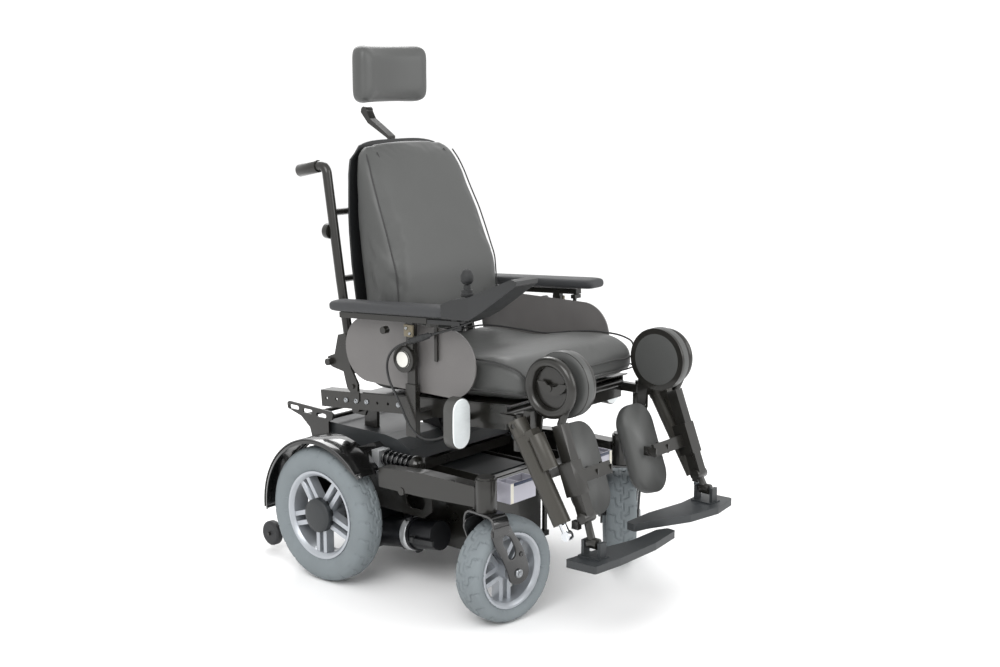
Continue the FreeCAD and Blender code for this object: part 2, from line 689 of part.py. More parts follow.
def seat_frame():
    """Perforated rails, cross tubes, pan, pivot ears and armrest sockets, as one welded frame."""
    pieces = []
    pitch = turn((0, 1, 0), -size("seat_pitch"))
    half = size("rail_height") / 2
    for side, word in SIDES:
        y = side * size("rail_y")
        middle_x = 236
        middle = (middle_x, y, along_seat(middle_x))
        rail = block("rail_" + word, "rail_length", "rail_thickness", "rail_height", middle, pitch)
        holes = []
        for index in range(8):
            offset = pitch.multVec(Vector(-300 + index * size("rail_hole_pitch"), 0, 0))
            holes.append(round_bar("rail_hole_" + word, "rail_hole_radius", 30, Vector(*middle) + offset,
                                   (0, 1, 0), True))
        pieces.append(cut("rail_drilled_" + word, rail, holes))
        pieces.append(block("rail_flange_" + word, "rail_length", 40, 4,
                            Vector(*middle) + pitch.multVec(Vector(0, -side * 18, half - 2)), pitch))
        ear = side_plate("seat_ear_" + word, [(-6, 424), (-14, 440), (0, 488), (70, 494), (46, 440), (38,
                424)], 8, side * 190,
                         circles=[(size("seat_pivot_x"), size("seat_pivot_z"), 9 + size("running_gap"))])
        pieces.append(ear)
        pieces.append(block("recline_ear_" + word, 30, 3, 46, (48, side * 235.8, 495)))
        pieces.append(round_bar("recline_pin_" + word, 5.92, 14, (size("recline_x"), side * 234,
                size("recline_z")), (0, side, 0)))
        pieces.append(block("ear_link_" + word, 50, 44, 8, (36, side * 208, 482)))
        wall = size("socket_wall")
        outer_x, outer_y = size("slider_width") + 2 * (wall + 0.5), size("slider_depth") + 2 * (wall + 0.5)
        socket = block("socket_" + word, outer_x, outer_y, 130, (298, side * 282, 496))
        hollow = block("socket_hole_" + word, outer_x - 2 * wall, outer_y - 2 * wall, 140, (298, side * 282,
                506))
        pieces.append(cut("socket_tube_" + word, socket, [hollow]))
        pieces.append(block("socket_link_" + word, 30, 46, 22, (298, side * 253, 480)))
        pieces.append(block("lamp_link_" + word, 12, 53, 14, (436, side * 258.5, 492)))
        pin_x, pin_y = size("swing_pin_x"), side * size("swing_pin_y")
        lug = round_bar("hanger_lug_" + word, 15, 22, (pin_x, pin_y, 496), (0, 0, 1))
        arm = block("hanger_arm_" + word, 62, 16, 22, (572, side * 231, 507))
        pin = round_bar("swing_pin_" + word, "swing_pin_radius", 86, (pin_x, pin_y, 440), (0, 0, 1))
        pieces += [lug, arm, pin]
    for x in (20, 200, 380, 545):
        pieces.append(round_bar("seat_cross", 11, 2 * size("rail_y"), (x, 0, along_seat(x)), (0, 1, 0), True))
    pan = block("seat_pan", 500, 2 * size("rail_y"), "pan_thickness", (320, 0, along_seat(320, half + 1)),
                pitch)
    box = side_plate("front_apron", [(428, 466), (428, 498), (552, 510), (552, 478)],
                     2 * size("rail_y") - 6, 0)
    inner = side_plate("front_apron_hole", [(431, 440), (431, 495), (549, 507), (549, 440)],
                       2 * size("rail_y") - 12, 0)
    pieces += [pan, cut("front_apron_shell", box, [inner])]
    pieces.append(block("tilt_ear_a", 30, 6, 60, (330, 19, 482)))
    pieces.append(block("tilt_ear_b", 30, 6, 60, (330, -19, 482)))
    fixed("seat_frame", fuse("seat_frame_solid", pieces))


def tilt_actuator():
    """Linear actuator that lifts the front of the seat about its rear pivot."""
    base, top = Vector(60, 0, 352), Vector(330, 0, 470)
    run = (top - base).normalize()
    body = round_bar("tilt_tube", 15, 200, base + run * 24, tuple(run))
    pin_hole = round_bar("tilt_pin_hole", 5.08, 40, base, (0, 1, 0), True)
    eye = round_bar("tilt_eye", 13, 20, base, (0, 1, 0), True)
    neck = round_bar("tilt_neck", 9, 30, base + run * 4, tuple(run))
    motor = block("tilt_motor", 60, 40, 60, base + run * 60 + Vector(0, 0, 0), Rotation(Vector(1, 0, 0), run))
    bore = round_bar("tilt_bore", 8, 200, base + run * 60, tuple(run))
    fixed("tilt_actuator", cut("tilt_actuator_solid", fuse("tilt_body", [body, eye, neck, motor]), [bore,
            pin_hole]))
    rod = round_bar("tilt_rod_bar", 7, 190, base + run * 90, tuple(run))
    tip = round_bar("tilt_rod_eye", 10, 26, top, (0, 1, 0), True)
    fixed("tilt_rod", fuse("tilt_rod_solid", [rod, tip]))


def cushions():
    """Plain closed solids of the seat and back cushions and the headrest pad."""
    seat = side_plate("seat_foam", [(76, 506), (588, 551), (606, 580), (592, 626), (548, 648), (430, 642),
                                    (300, 618), (76, 618)],
                      "cushion_width", 0, rounding="cushion_round", all_round=True)
    fixed("seat_cushion", seat)
    back = side_plate("back_foam", [(72, 628), (158, 628), (186, 700), (176, 810), (120, 940), (66, 1050),
                                    (30, 1112),
                                    (-2, 1134), (-16, 1128), (2, 900), (30, 700)],
                      "back_width", 0, rounding="back_round - 8", all_round=True)
    fixed("back_cushion", back)
    shell = side_plate("back_shell_plate", [(62, 590), (66, 622), (22, 700), (-8, 900), (-27, 1128), (-37,
            1118), (-19, 900), (10, 690), (52, 590)],
                       "back_width + 16", 0)
    fixed("back_shell", shell)


def backrest_frame():
    """Canes with push handles, cross tubes and recline plates, as one welded frame."""
    pieces = []
    for side, word in SIDES:
        y = side * size("cane_y")
        pieces.append(bent_tube("cane_" + word, [(36, y, 542), (-6, y, 780), (-52, y, 1072), (-150, y,
                1052)], "cane_radius", 22))
        grip = round_bar("grip_" + word, "grip_radius", "grip_length", (-80, y, 1066.3), (-98, 0, -20))
        plate = side_plate("recline_plate_" + word,
                           [(-4, 640), (24, 648), (40, 560), (66, 520), (64, 500), (40, 494), (26, 506),
                            (14, 546), (-24, 552), (-46, 560),
                            (-44, 578), (-18, 588)], 6, side * 241,
                           circles=[(size("recline_x"), size("recline_z"), 6)], rounding=2)
        pieces += [grip, plate]
        pieces.append(round_bar("lock_knob_" + word, 9, 14, (-34, side * 242, 566), (0, side, 0)))
        pieces.append(round_bar("back_knob_" + word, 20, 16, (-52, side * 228, 903), (1, 0, 0)))
        pieces.append(bar_between("knob_stem_" + word, 6, (-52, side * 228, 903), (-26, side * 228, 903)))
    for x, z in ((-15, 780), (-40, 950)):
        pieces.append(round_bar("back_cross", 9, 2 * size("cane_y"), (x, 0, z), (0, 1, 0), True))
    holder = block("headrest_holder", 14, 46, 60, (-44, 0, 1000))
    slot = block("headrest_slot", 7, 31, 80, (-44, 0, 1000))
    link = block("holder_link", 15, 30, 12, (-35.5, 0, 1000))
    web = block("holder_web", 8, 14, 70, (-34, 0, 968))
    pieces.append(cut("holder_cut", fuse("holder_solid", [holder, link, web]), [slot]))
    fixed("back_frame", fuse("back_frame_solid", pieces))


def headrest():
    """Flat bar that slides in the back's holder, and the pad that tilts at its top."""
    lower = block("headrest_bar_low", 6, 30, 160, (-44, 0, 1045))
    sweep = side_plate("headrest_bar_top", [(-47, 1110), (-47, 1130), (-120, 1168), (-146, 1196), (-142,
            1208), (-130, 1210), (-112, 1180), (-41, 1136), (-41, 1110)],
                       24, 0, rounding=2)
    barrel = round_bar("headrest_barrel", 11, 24, (-134, 0, 1200), (0, 1, 0), True)
    fixed("headrest_bar", fuse("headrest_bar_solid", [lower, sweep, barrel]))
    pad = block("headrest_pad_block", "headrest_depth", "headrest_width", "headrest_height", (-62, 0, 1297))
    wings = [block("headrest_wing", 30, 26, 120, (-26, side * 113, 1297), turn((0, 0, 1),
            side * 10)) for side in (-1, 1)]
    ears = [block("headrest_ear", 60, 5, 26, (-112, side * 15.5, 1224), turn((0, 1, 0),
            -48)) for side in (-1, 1)]
    fixed("headrest_pad", fuse("headrest_pad_solid", [pad] + wings + ears))


def armrests():
    """Slider, rail and knob, pad and side guard of each armrest."""
    for side, word in SIDES:
        y = side * size("armrest_y")
        slider = block("arm_slider_" + word, "slider_width", "slider_depth", 250, (298, side * 282, 585))
        rail = block("arm_rail_" + word, 300, 22, 14, (214, y, 717), turn((0, 1, 0), -3.6))
        hub = round_bar("arm_hub_" + word, "post_hub_radius", 20, (281, side * 277, 622), (0, side, 0))
        disc = round_bar("arm_hub_disc_" + word, 21, 3, (281, side * 297, 622), (0, side, 0))
        lug = block("arm_guard_lug_" + word, 20, 14, 20, (281, side * 271, 622))
        strap = block("arm_strap_" + word, 22, 16, 76, (298, side * 284, 686))
        spare = block("arm_spare_bar_" + word, 9, 5, 88, (366, side * 270, 668))
        spare_link = block("arm_spare_link_" + word, 14, 26, 10, (362, side * 280, 714), turn((0, 1, 0),
                -3.6))
        knob = round_bar("arm_knob_" + word, 9, 16, (232, side * 301, 690), (0, side, 0))
        fixed("armrest_frame_" + word, fuse("armrest_frame_solid_" + word,
                                            [slider, rail, hub, disc, lug, strap, spare, spare_link, knob]))
        pad = block("arm_pad_block_" + word, "armrest_pad_length", "armrest_pad_width", "armrest_pad_height",
                    (234, y, 742), turn((0, 1, 0), -3.6))
        fixed("armrest_pad_" + word, pad)
        guard = block("guard_mid_" + word, "side_guard_length - side_guard_height", "side_guard_wall",
                      "side_guard_height",
                      (266, side * size("side_guard_y"), 622))
        ends = [round_bar("guard_end_" + word, "side_guard_height / 2", "side_guard_wall", (266 + end * 137,
                side * size("side_guard_y"), 622),
                          (0, 1, 0), True) for end in (-1, 1)]
        fixed("side_guard_" + word, fuse("side_guard_solid_" + word, [guard] + ends))


def joystick():
    """Control module on the right armrest, gimbal ring, stick, power button and lead."""
    y = -size("armrest_y")
    module = side_plate("module_case", [(436, 744), (434, 776), (470, 792), (520, 802), (648, 856), (664,
            852), (662, 842), (560, 772), (520, 748)],
                        "module_width", y, rounding=3)
    bracket = block("module_bracket", 104.4, 20, 10, (416.8, y, 728.2), turn((0, 1, 0), -3.6))
    stem = block("module_stem", 16, 16, 40, (450, y, 732))
    well = round_bar("stick_well", 25, 40, (484, y, 774), (0, 0, 1))
    button_hole = round_bar("button_hole", "power_button_radius + 0.4", 40, (600, y, 812), (-0.39, 0, 0.92))
    route = [(500, -290, 740), (440, -300, 714), (374, -306, 694), (315, -308, 672), (262, -310, 650), (236,
            -309, 615),
             (240, -308, 570), (268, -307, 530), (292, -306, 488), (312, -303, 452), (346, -297, 434), (385,
                     -291, 438),
             (412, -286, 452)]
    lead = cord_tube("joystick_cable_tube", route, "cable_radius")
    fixed("joystick_cable", lead)
    module_body = fuse("module_solid", [module, bracket, stem])
    fixed("joystick_module", cut("joystick_module_solid", module_body, [well, button_hole, lead]))
    gimbal_ring = fuse("gimbal_ring", [round_bar("gimbal_out", 13, 5, (484, y, 779.5), (0, 0, 1)),
                                       round_bar("gimbal_pin", 1.5, 32, (484, y, 782), (1, 0, 0), True)])
    gimbal = cut("gimbal", gimbal_ring, [round_bar("gimbal_in", 9, 9, (484, y, 778), (0, 0, 1))])
    fixed("joystick_gimbal", gimbal)
    rod = round_bar("stick_rod", "stick_radius", 60, (484, y, 779), (0, 0, 1))
    boot = turned("stick_boot", [(0, 0), (0, 15), (7, 15), (9, 13), (15, 13), (17, 9), (26, 8), (26, 0)],
                  (484, y, 797), (0, 0, 1))
    knob = turned("stick_knob", [(0, 0), (0, 10), (8, 15), (20, 15), (32, 9), (36, 0)], (484, y, 826), (0,
            0, 1))
    cross_pin = round_bar("stick_cross_pin", 1.5, 17, (484, y, 782), (0, 1, 0), True)
    fixed("joystick_stick", fuse("joystick_stick_solid", [rod, boot, knob, cross_pin]))
    fixed("power_button", round_bar("power_button_solid", "power_button_radius", 22, (598.8, y, 814.8),
                                    (-0.39, 0, 0.92)))


def cord_tube(name, route, radius):
    """A held cord: straight runs joined by the largest tangent arcs that they allow."""
    corners = [Vector(*point) for point in route]
    edges, start, radii = [], corners[0], []
    for before, corner, after in zip(corners, corners[1:], corners[2:]):
        inward, outward = (before - corner), (after - corner)
        reach = 0.45 * min(inward.Length, outward.Length)
        inward.normalize()
        outward.normalize()
        half = inward.getAngle(outward) / 2
        bend = reach * math.tan(half)
        radii.append(round(bend))
        middle = corner + (inward + outward).normalize() * (bend / math.sin(half) - bend)
        first, last = corner + inward * reach, corner + outward * reach
        edges += [Part.LineSegment(start, first).toShape(), Part.Arc(first, middle, last).toShape()]
        start = last
    edges.append(Part.LineSegment(start, corners[-1]).toShape())
    print(name, "arc radii", radii, "length", round(sum(edge.Length for edge in edges)))
    spine = doc.addObject("Part::Feature", name + "_path")
    spine.Shape = Part.Wire(edges)
    section = bind(doc.addObject("Part::Circle", name + "_section"), Radius=radius)
    section.Placement = FreeCAD.Placement(corners[0], Rotation(Vector(0, 0, 1), corners[1] - corners[0]))
    tube = doc.addObject("Part::Sweep", name)
    tube.Sections = [section]
    tube.Spine = (spine, ["Edge%d" % (index + 1) for index in range(len(edges))])
    tube.Solid = True
    doc.recompute()
    return tube


def head_lamps():
    """Oblong lamp on each side of the seat front."""
    lamps = []
    for side, word in SIDES:
        y, x, z = side * size("lamp_y"), 458, 494
        middle = block("lamp_mid_" + word, "lamp_depth", "lamp_width", "lamp_height - lamp_width", (x, y, z))
        ends = [round_bar("lamp_end_" + word, "lamp_width / 2", "lamp_depth", (x, y, z + end * 31), (1, 0,
                0), True) for end in (-1, 1)]
        back = block("lamp_back_" + word, 16, 30, 60, (438, y, z + 6))
        lamps.append(fuse("lamp_" + word, [middle, back] + ends))
    subpart("head_lamps", group("head_lamps", lamps))


# ---------------------------------------------------------------- leg rests

LEG_TOP, LEG_ANKLE = (712, 522), (792, 316)
FOOT_HINGE_X, FOOT_HINGE = 813, {"right": 259, "left": 281}
FOOT_DROP = 41


def leg_rests():
    """Hanger, leg tube, actuator and rod, calf pad and footplate of each leg rest."""
    knee = (size("knee_x"), size("knee_z"))
    lean = math.degrees(math.atan2(LEG_ANKLE[0] - LEG_TOP[0], LEG_TOP[1] - LEG_ANKLE[1]))
    for side, word in SIDES:
        y = side * size("leg_y")
        pin_x, pin_y = size("swing_pin_x"), side * size("swing_pin_y")
        sleeve = round_bar("swing_sleeve_" + word, 15, 54, (pin_x, pin_y, 440), (0, 0, 1))
        spine = block("hanger_spine_" + word, 12, 24, 60, (pin_x + 24, side * 226, 490))
        low = block("hanger_low_" + word, 22, 18, 40, (pin_x + 14, side * 234, 466))
        plate = side_plate("hanger_plate_" + word, [(618, 470), (618, 600), (640, 650), (700, 664), (726,
                640), (730, 590), (700, 560), (650, 540),
                                                    (640, 470)], 6, side * 212, rounding=5)
        knee_pad = round_bar("knee_pad_" + word, "knee_pad_radius", "knee_pad_depth", (knee[0] + 6,
                side * (size("knee_pad_y") - 14), knee[1] + 2), (0, side, 0))
        pad_link = round_bar("knee_pad_link_" + word, 14, 14, (knee[0], side * 202, knee[1]), (0, side, 0))
        axle = round_bar("knee_axle_" + word, 8, 32, (knee[0], side * 212, knee[1]), (0, side, 0))
        act_y = side * size("actuator_y")
        lug = block("actuator_lug_" + word, 20, 26, 44, (626, side * 231, 516))
        act_pin = round_bar("actuator_pin_" + word, 5.92, 52, (625, side * 240, 511), (0, side, 0))
        hole = round_bar("swing_hole_" + word, "swing_pin_radius + running_gap", 100, (pin_x, pin_y, 435),
                         (0, 0, 1))
        body = fuse("hanger_solid_" + word, [sleeve, spine, low, plate, knee_pad, pad_link, axle, lug,
                                             act_pin])
        fixed("leg_hanger_" + word, cut("hanger_bored_" + word, body, [hole]))

        circle = ring("knee_ring_" + word, "knee_ring_radius", "knee_tube_radius", (knee[0], y + side * 4,
                knee[1]), (0, 1, 0))
        down = bar_between("knee_down_" + word, 9.5, (740, y + side * 4, 574), (LEG_TOP[0] + 4, y,
                LEG_TOP[1] - 4))
        hub_disc = round_bar("knee_disc_" + word, 53, 11, (knee[0], side * 218.6, knee[1]), (0, side, 0))
        rotation = turn((0, 1, 0), -lean)
        tube_mid = ((LEG_TOP[0] + LEG_ANKLE[0]) / 2, y, (LEG_TOP[1] + LEG_ANKLE[1]) / 2)
        tube = block("leg_tube_bar_" + word, "leg_tube_size", "leg_tube_size", 214, tube_mid, rotation)
        clamp = block("leg_clamp_" + word, "leg_tube_size + 12", "leg_tube_size + 10", 78, (754, y, 400),
                      rotation)
        arc = arc_slot_plate("knee_arc_" + word, knee, side * 240)
        calf_arm = block("calf_arm_" + word, 8, 140, 30, (752, side * 160, 397), rotation)
        cheeks = [block("calf_cheek_" + word, 36, 5, 22, (741, side * 118 + end * 26.4,
                                                          392.5)) for end in (-1, 1)]
        cheeks.append(round_bar("calf_pin_" + word, 5.92, 62, (732, side * 118, 392), (0, 1, 0), True))
        ankle = round_bar("ankle_bolt_" + word, 13, 40, (LEG_ANKLE[0], y, LEG_ANKLE[1]), (0, 1, 0), True)
        foot_z = FOOT_HINGE[word]
        link = bar_between("ankle_link_" + word, 9, (LEG_ANKLE[0], y, LEG_ANKLE[1]),
                           (FOOT_HINGE_X - 5, y, foot_z + 6))
        hinge = round_bar("foot_hinge_" + word, 13, 26, (FOOT_HINGE_X, y, foot_z), (1, 0, 0), True)
        eye_arm = block("rod_clevis_" + word, 18, 14, 19, (776, side * 248, 298.5))
        body = fuse("leg_solid_" + word, [circle, down, hub_disc, tube, clamp, arc, calf_arm, ankle, link,
                                          hinge,
                                                  eye_arm] + cheeks)
        hole = round_bar("knee_hole_" + word, 8 + size("running_gap"), 60, (knee[0], side * 200, knee[1]),
                         (0, side, 0))
        foot_hole = round_bar("foot_hole_" + word, 5.08, 60, (FOOT_HINGE_X, y, foot_z), (1, 0, 0), True)
        fixed("leg_tube_" + word, cut("leg_bored_" + word, body, [hole, foot_hole]))

        top, eye = Vector(625, act_y, 511), Vector(769, act_y, 277)
        run = (eye - top).normalize()
        head = round_bar("actuator_head_" + word, 23, 40, top - run * 12, tuple(run))
        can = round_bar("actuator_can_" + word, "actuator_radius", 226, top + run * 20, tuple(run))
        across = run.cross(Vector(0, 1, 0)).normalize()
        if across.x < 0:
            across = across * -1
        motor = round_bar("actuator_motor_" + word, 19, 84, top + run * 40 + across * 36, tuple(run))
        bridge = block("actuator_bridge_" + word, 40, 30, 20, top + run * 34 + across * 20,
                       Rotation(Vector(1, 0, 0), across))
        bore = round_bar("actuator_bore_" + word, size("actuator_rod_radius") + 1, 240, top + run * 50,
                         tuple(run))
        fixed("leg_actuator_" + word, cut("actuator_solid_" + word, fuse("actuator_" + word, [head, can,
                motor, bridge]),
                                              [bore, round_bar("actuator_eye_" + word, 6, 90, (625, act_y,
                                                      511), (0, 1, 0), True)]))
        rod = round_bar("rod_bar_" + word, "actuator_rod_radius", 188, top + run * 80, tuple(run))
        tip = round_bar("rod_eye_" + word, 12, 16, eye, (0, 1, 0), True)
        fixed("leg_rod_" + word, fuse("leg_rod_solid_" + word, [rod, tip]))

        calf_lean = turn((0, 1, 0), -lean + 1)
        calf_x, calf_z = 690, 385
        pad = block("calf_block_" + word, "calf_depth", "calf_width", "calf_height - calf_width", (calf_x,
                side * 118, calf_z), calf_lean)
        ends = []
        for end in (-1, 1):
            offset = calf_lean.multVec(Vector(0, 0, end * (size("calf_height") - size("calf_width")) / 2))
            ends.append(round_bar("calf_end_" + word, "calf_width / 2", "calf_depth", Vector(calf_x,
                    side * 118, calf_z) + offset,
                                  tuple(calf_lean.multVec(Vector(1, 0, 0))), True))
        back = block("calf_back_" + word, 22, 40, 34, (722, side * 118, 392), calf_lean)
        stub = round_bar("calf_stub_" + word, 11, 40, (732, side * 118, 392), (0, 1, 0), True)
        hole = round_bar("calf_hole_" + word, 6, 60, (732, side * 118, 392), (0, 1, 0), True)
        fixed("calf_pad_" + word, cut("calf_bored_" + word, fuse("calf_solid_" + word, [pad, back,
                stub] + ends), [hole]))
        footplate(side, word, y)


def arc_slot_plate(name, knee, y):
    """Curved slotted guide plate under the knee axis."""
    outer = round_bar(name + "_outer", 46, 4, (knee[0] + 8, y, knee[1] + 30), (0, 1, 0), True)
    inner = round_bar(name + "_inner", 26, 12, (knee[0] + 8, y, knee[1] + 30), (0, 1, 0), True)
    upper = block(name + "_upper", 120, 12, 72, (knee[0] + 8, y, knee[1] + 50))
    return cut(name, outer, [inner, upper])


def footplate(side, word, y):
    """Curved tread plate with its hinge block."""
    hinge_z = FOOT_HINGE[word]
    z = hinge_z - FOOT_DROP
    if side < 0:
        points = [(776, -290), (858, -284), (866, -200), (866, -60), (850, 44), (826, 48), (812, 20), (812,
                -80), (790, -180)]
    else:
        points = [(770, 292), (852, 296), (866, 210), (850, 110), (800, 0), (790, -38), (762, -34), (760,
                60), (776, 180)]
    plate = flat_plate("footplate_tread_" + word, points, "plate_thickness", z, rounding=6)
    ears = [block("foot_ear_" + word, 8, 22, 48, (FOOT_HINGE_X + end * 23, y, hinge_z - 18)) for end in (-1,
            1)]
    pin = round_bar("foot_pin_" + word, 5, 50, (FOOT_HINGE_X, y, hinge_z), (1, 0, 0), True)
    clamp = block("foot_clamp_" + word, 60, 40, 16, (FOOT_HINGE_X, y, z + 4))
    fixed("footplate_" + word, fuse("footplate_solid_" + word, [plate, pin, clamp] + ears))


drive_wheels()
anti_tip_wheels()
chassis_frame()
power_pack()
front_fascia()
drive_motors()
mudguards()
luggage_rack()
suspension()
casters()
seat_frame()
tilt_actuator()
cushions()
backrest_frame()
headrest()
armrests()
joystick()
head_lamps()
leg_rests()
doc.recompute()

for item in doc.Objects:
    if "Invalid" in item.State or "Error" in item.State:
        raise RuntimeError("%s failed: %s" % (item.Label, item.State))
for piece in subparts:
    if piece.Shape.isNull() or not piece.Shape.isValid():
        raise RuntimeError("%s has no valid shape" % piece.Label)

os.makedirs("parts", exist_ok=True)
for piece in subparts:
    piece.Shape.exportStep("parts/%s.step" % piece.Label)
print(len(subparts), "sub-parts")
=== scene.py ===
"""Looks of a power wheelchair: finishes, upholstery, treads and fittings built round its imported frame.

Every sub-assembly of the chair is one class. Lengths in the classes are millimetres in the chair's own frame:
X forward from the drive axle, Y to the chair's left, Z up from the ground. Meshes are in metres.
"""

import json
import logging
import math
from abc import ABC, abstractmethod
from collections.abc import Callable, Iterable, Sequence
from dataclasses import dataclass, field
from enum import Enum

import bmesh
import bpy
from mathutils import Matrix, Vector


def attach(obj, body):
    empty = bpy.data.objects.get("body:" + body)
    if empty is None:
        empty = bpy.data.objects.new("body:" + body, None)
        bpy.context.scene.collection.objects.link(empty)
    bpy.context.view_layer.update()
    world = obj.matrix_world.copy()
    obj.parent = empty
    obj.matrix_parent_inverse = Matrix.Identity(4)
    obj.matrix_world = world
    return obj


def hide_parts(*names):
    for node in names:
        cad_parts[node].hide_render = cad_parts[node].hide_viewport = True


LOG = logging.getLogger("wheelchair")
MILLIMETRE = 0.001
AXLE_POINT = Vector((-0.272, -0.044147, 0.0))
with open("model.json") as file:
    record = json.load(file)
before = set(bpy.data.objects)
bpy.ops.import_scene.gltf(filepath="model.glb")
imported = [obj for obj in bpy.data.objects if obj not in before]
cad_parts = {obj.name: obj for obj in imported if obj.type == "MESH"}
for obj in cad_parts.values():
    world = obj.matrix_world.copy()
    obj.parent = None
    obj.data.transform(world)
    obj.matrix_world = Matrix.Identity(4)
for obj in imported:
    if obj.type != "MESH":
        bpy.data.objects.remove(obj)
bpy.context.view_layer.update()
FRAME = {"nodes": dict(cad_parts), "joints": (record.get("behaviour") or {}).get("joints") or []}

Point = tuple[float, float, float]
Profile = Sequence[tuple[float, float]]


class Side(Enum):
    """A side of the chair, with the sign of its Y."""

    RIGHT = -1
    LEFT = 1

    @property
    def word(self) -> str:
        """The side's name as the frame's nodes and bodies spell it."""
        return self.name.lower()


def chair(x: float, y: float, z: float) -> Vector:
    """A point of the chair's frame in millimetres, as a point of the row frame in metres."""
    return AXLE_POINT + Vector((x, y, z)) * MILLIMETRE


def polar(radius: float, degrees: float) -> tuple[float, float]:
    """A point of the plane at a radius and an angle."""
    return radius * math.cos(math.radians(degrees)), radius * math.sin(math.radians(degrees))


def smooth(value: float, low: float, high: float) -> float:
    """A soft step from 0 at low to 1 at high."""
    share = min(1.0, max(0.0, (value - low) / (high - low)))
    return share * share * (3 - 2 * share)


@dataclass(frozen=True)
class Place:
    """Where a piece stands: the origin in the chair's millimetres, its own Z axis and its own X axis."""

    origin: Point
    up: Point = (0.0, 0.0, 1.0)
    forward: Point = (1.0, 0.0, 0.0)

    def matrix(self) -> Matrix:
        """The matrix from a piece's own metres to the row frame."""
        z = Vector(self.up).normalized()
        x = Vector(self.forward)
        x = (x - z * x.dot(z)).normalized()
        rotation = Matrix((x, z.cross(x), z)).transposed().to_4x4()
        return Matrix.Translation(chair(*self.origin)) @ rotation


# ------------------------------------------------------------------ finishes


class Texture(Enum):
    """How the surface of a finish is broken up."""

    SPECKLE = "speckle"
    LEATHER = "leather"
    BRUSHED = "brushed"
    RIBBED = "ribbed"


@dataclass(frozen=True)
class Finish:
    """One finish of the chair: its colour, gloss and surface texture, with lengths in metres."""

    name: str
    colour: str
    roughness: float = 0.5
    metallic: float = 0.0
    coat: float = 0.0
    alpha: float = 1.0
    texture: Texture = Texture.SPECKLE
    cell: float = 0.002
    relief: float = 0.00004
    mottle: float = 0.12
    slot: str | None = None

    def linear(self, share: float = 1.0) -> tuple[float, float, float, float]:
        """The colour as linear numbers, scaled by a share."""
        parts = [int(self.colour[i : i + 2], 16) / 255 for i in (1, 3, 5)]
        values = [c / 12.92 if c <= 0.04045 else ((c + 0.055) / 1.055) ** 2.4 for c in parts]
        return (*(min(1.0, v * share) for v in values), 1.0)


TYRE = Finish("tyre_rubber", "#6f7679", 0.72, cell=0.0016, relief=0.00005, mottle=0.16, slot="tyre_grey")
RIM = Finish("rim_lacquer", "#a4a8ad", 0.36, metallic=0.55, coat=0.25, cell=0.0009, mottle=0.07,
    slot="rim_silver")
SMALL_WHEEL = Finish("small_wheel_rubber", "#202123", 0.6, slot="wheel_black")
GLOSS = Finish("gloss_black", "#121212", 0.2, coat=0.7, cell=0.02, relief=0.00002, slot="gloss_black")
SPRING = Finish("spring_coating", "#0d0e10", 0.22, coat=0.5, slot="spring_black")
PLASTIC = Finish("moulded_black", "#191a1b", 0.42, cell=0.0011, relief=0.00004, slot="plastic_black")
CHROME = Finish("chrome_plate", "#c9ccd0", 0.12, metallic=1.0, slot="chrome")
LEATHER = Finish("dark_leatherette", "#434443", 0.47, texture=Texture.LEATHER, cell=0.0021, relief=0.00011,
    mottle=0.1, slot="leatherette")
SATIN = Finish("frame_satin", "#1f1e1b", 0.3, metallic=0.3, coat=0.3, cell=0.0014, slot="frame_satin")
GUARD = Finish("guard_grey", "#615f5e", 0.42, alpha=0.96, cell=0.004, slot="guard_grey")
DARK = Finish("dark_plastic", "#222527", 0.5, cell=0.0015, slot="plastic_dark")
FASCIA = Finish("fascia_silver", "#a9a8b2", 0.34, metallic=0.3, coat=0.2, slot="fascia_silver")
MOTOR = Finish("motor_casting", "#17181b", 0.35, metallic=0.4, cell=0.003, slot="motor_metal")
LAMP = Finish("lamp_grey", "#3a3a38", 0.4, slot="lamp_housing")
CABLE = Finish("cable_sheath", "#101112", 0.45, slot="cable_black")
LENS = Finish("clear_lens", "#d5dadb", 0.12, coat=0.6, texture=Texture.RIBBED, cell=0.004, relief=0.0004)
AMBER = Finish("amber_lens", "#d9701c", 0.25, coat=0.5, texture=Texture.RIBBED, cell=0.003, relief=0.0003)
SILVER = Finish("cast_silver", "#c3c5c7", 0.33, metallic=0.7, cell=0.0012)
STEEL = Finish("screw_steel", "#8c8f92", 0.3, metallic=0.9)
CREAM = Finish("cream_strip", "#d8d3bf", 0.4)
NAVY = Finish("navy_strip", "#1d2740", 0.35)
ACTUATOR = Finish("actuator_grey_brown", "#36342f", 0.4, metallic=0.25, cell=0.0012)
RAIL = Finish("rail_anodised", "#6a6353", 0.35, metallic=0.5, texture=Texture.BRUSHED, cell=0.002)
RUBBER = Finish("soft_rubber", "#1b1c1d", 0.66, cell=0.0012)
STITCH = Finish("seam_thread", "#2a2a2a", 0.7)
FOAM_SKIN = Finish("armrest_skin", "#2f3032", 0.62, cell=0.0024, relief=0.00022, mottle=0.2)
OFF_WHITE = Finish("off_white_cap", "#c9c8c2", 0.45)


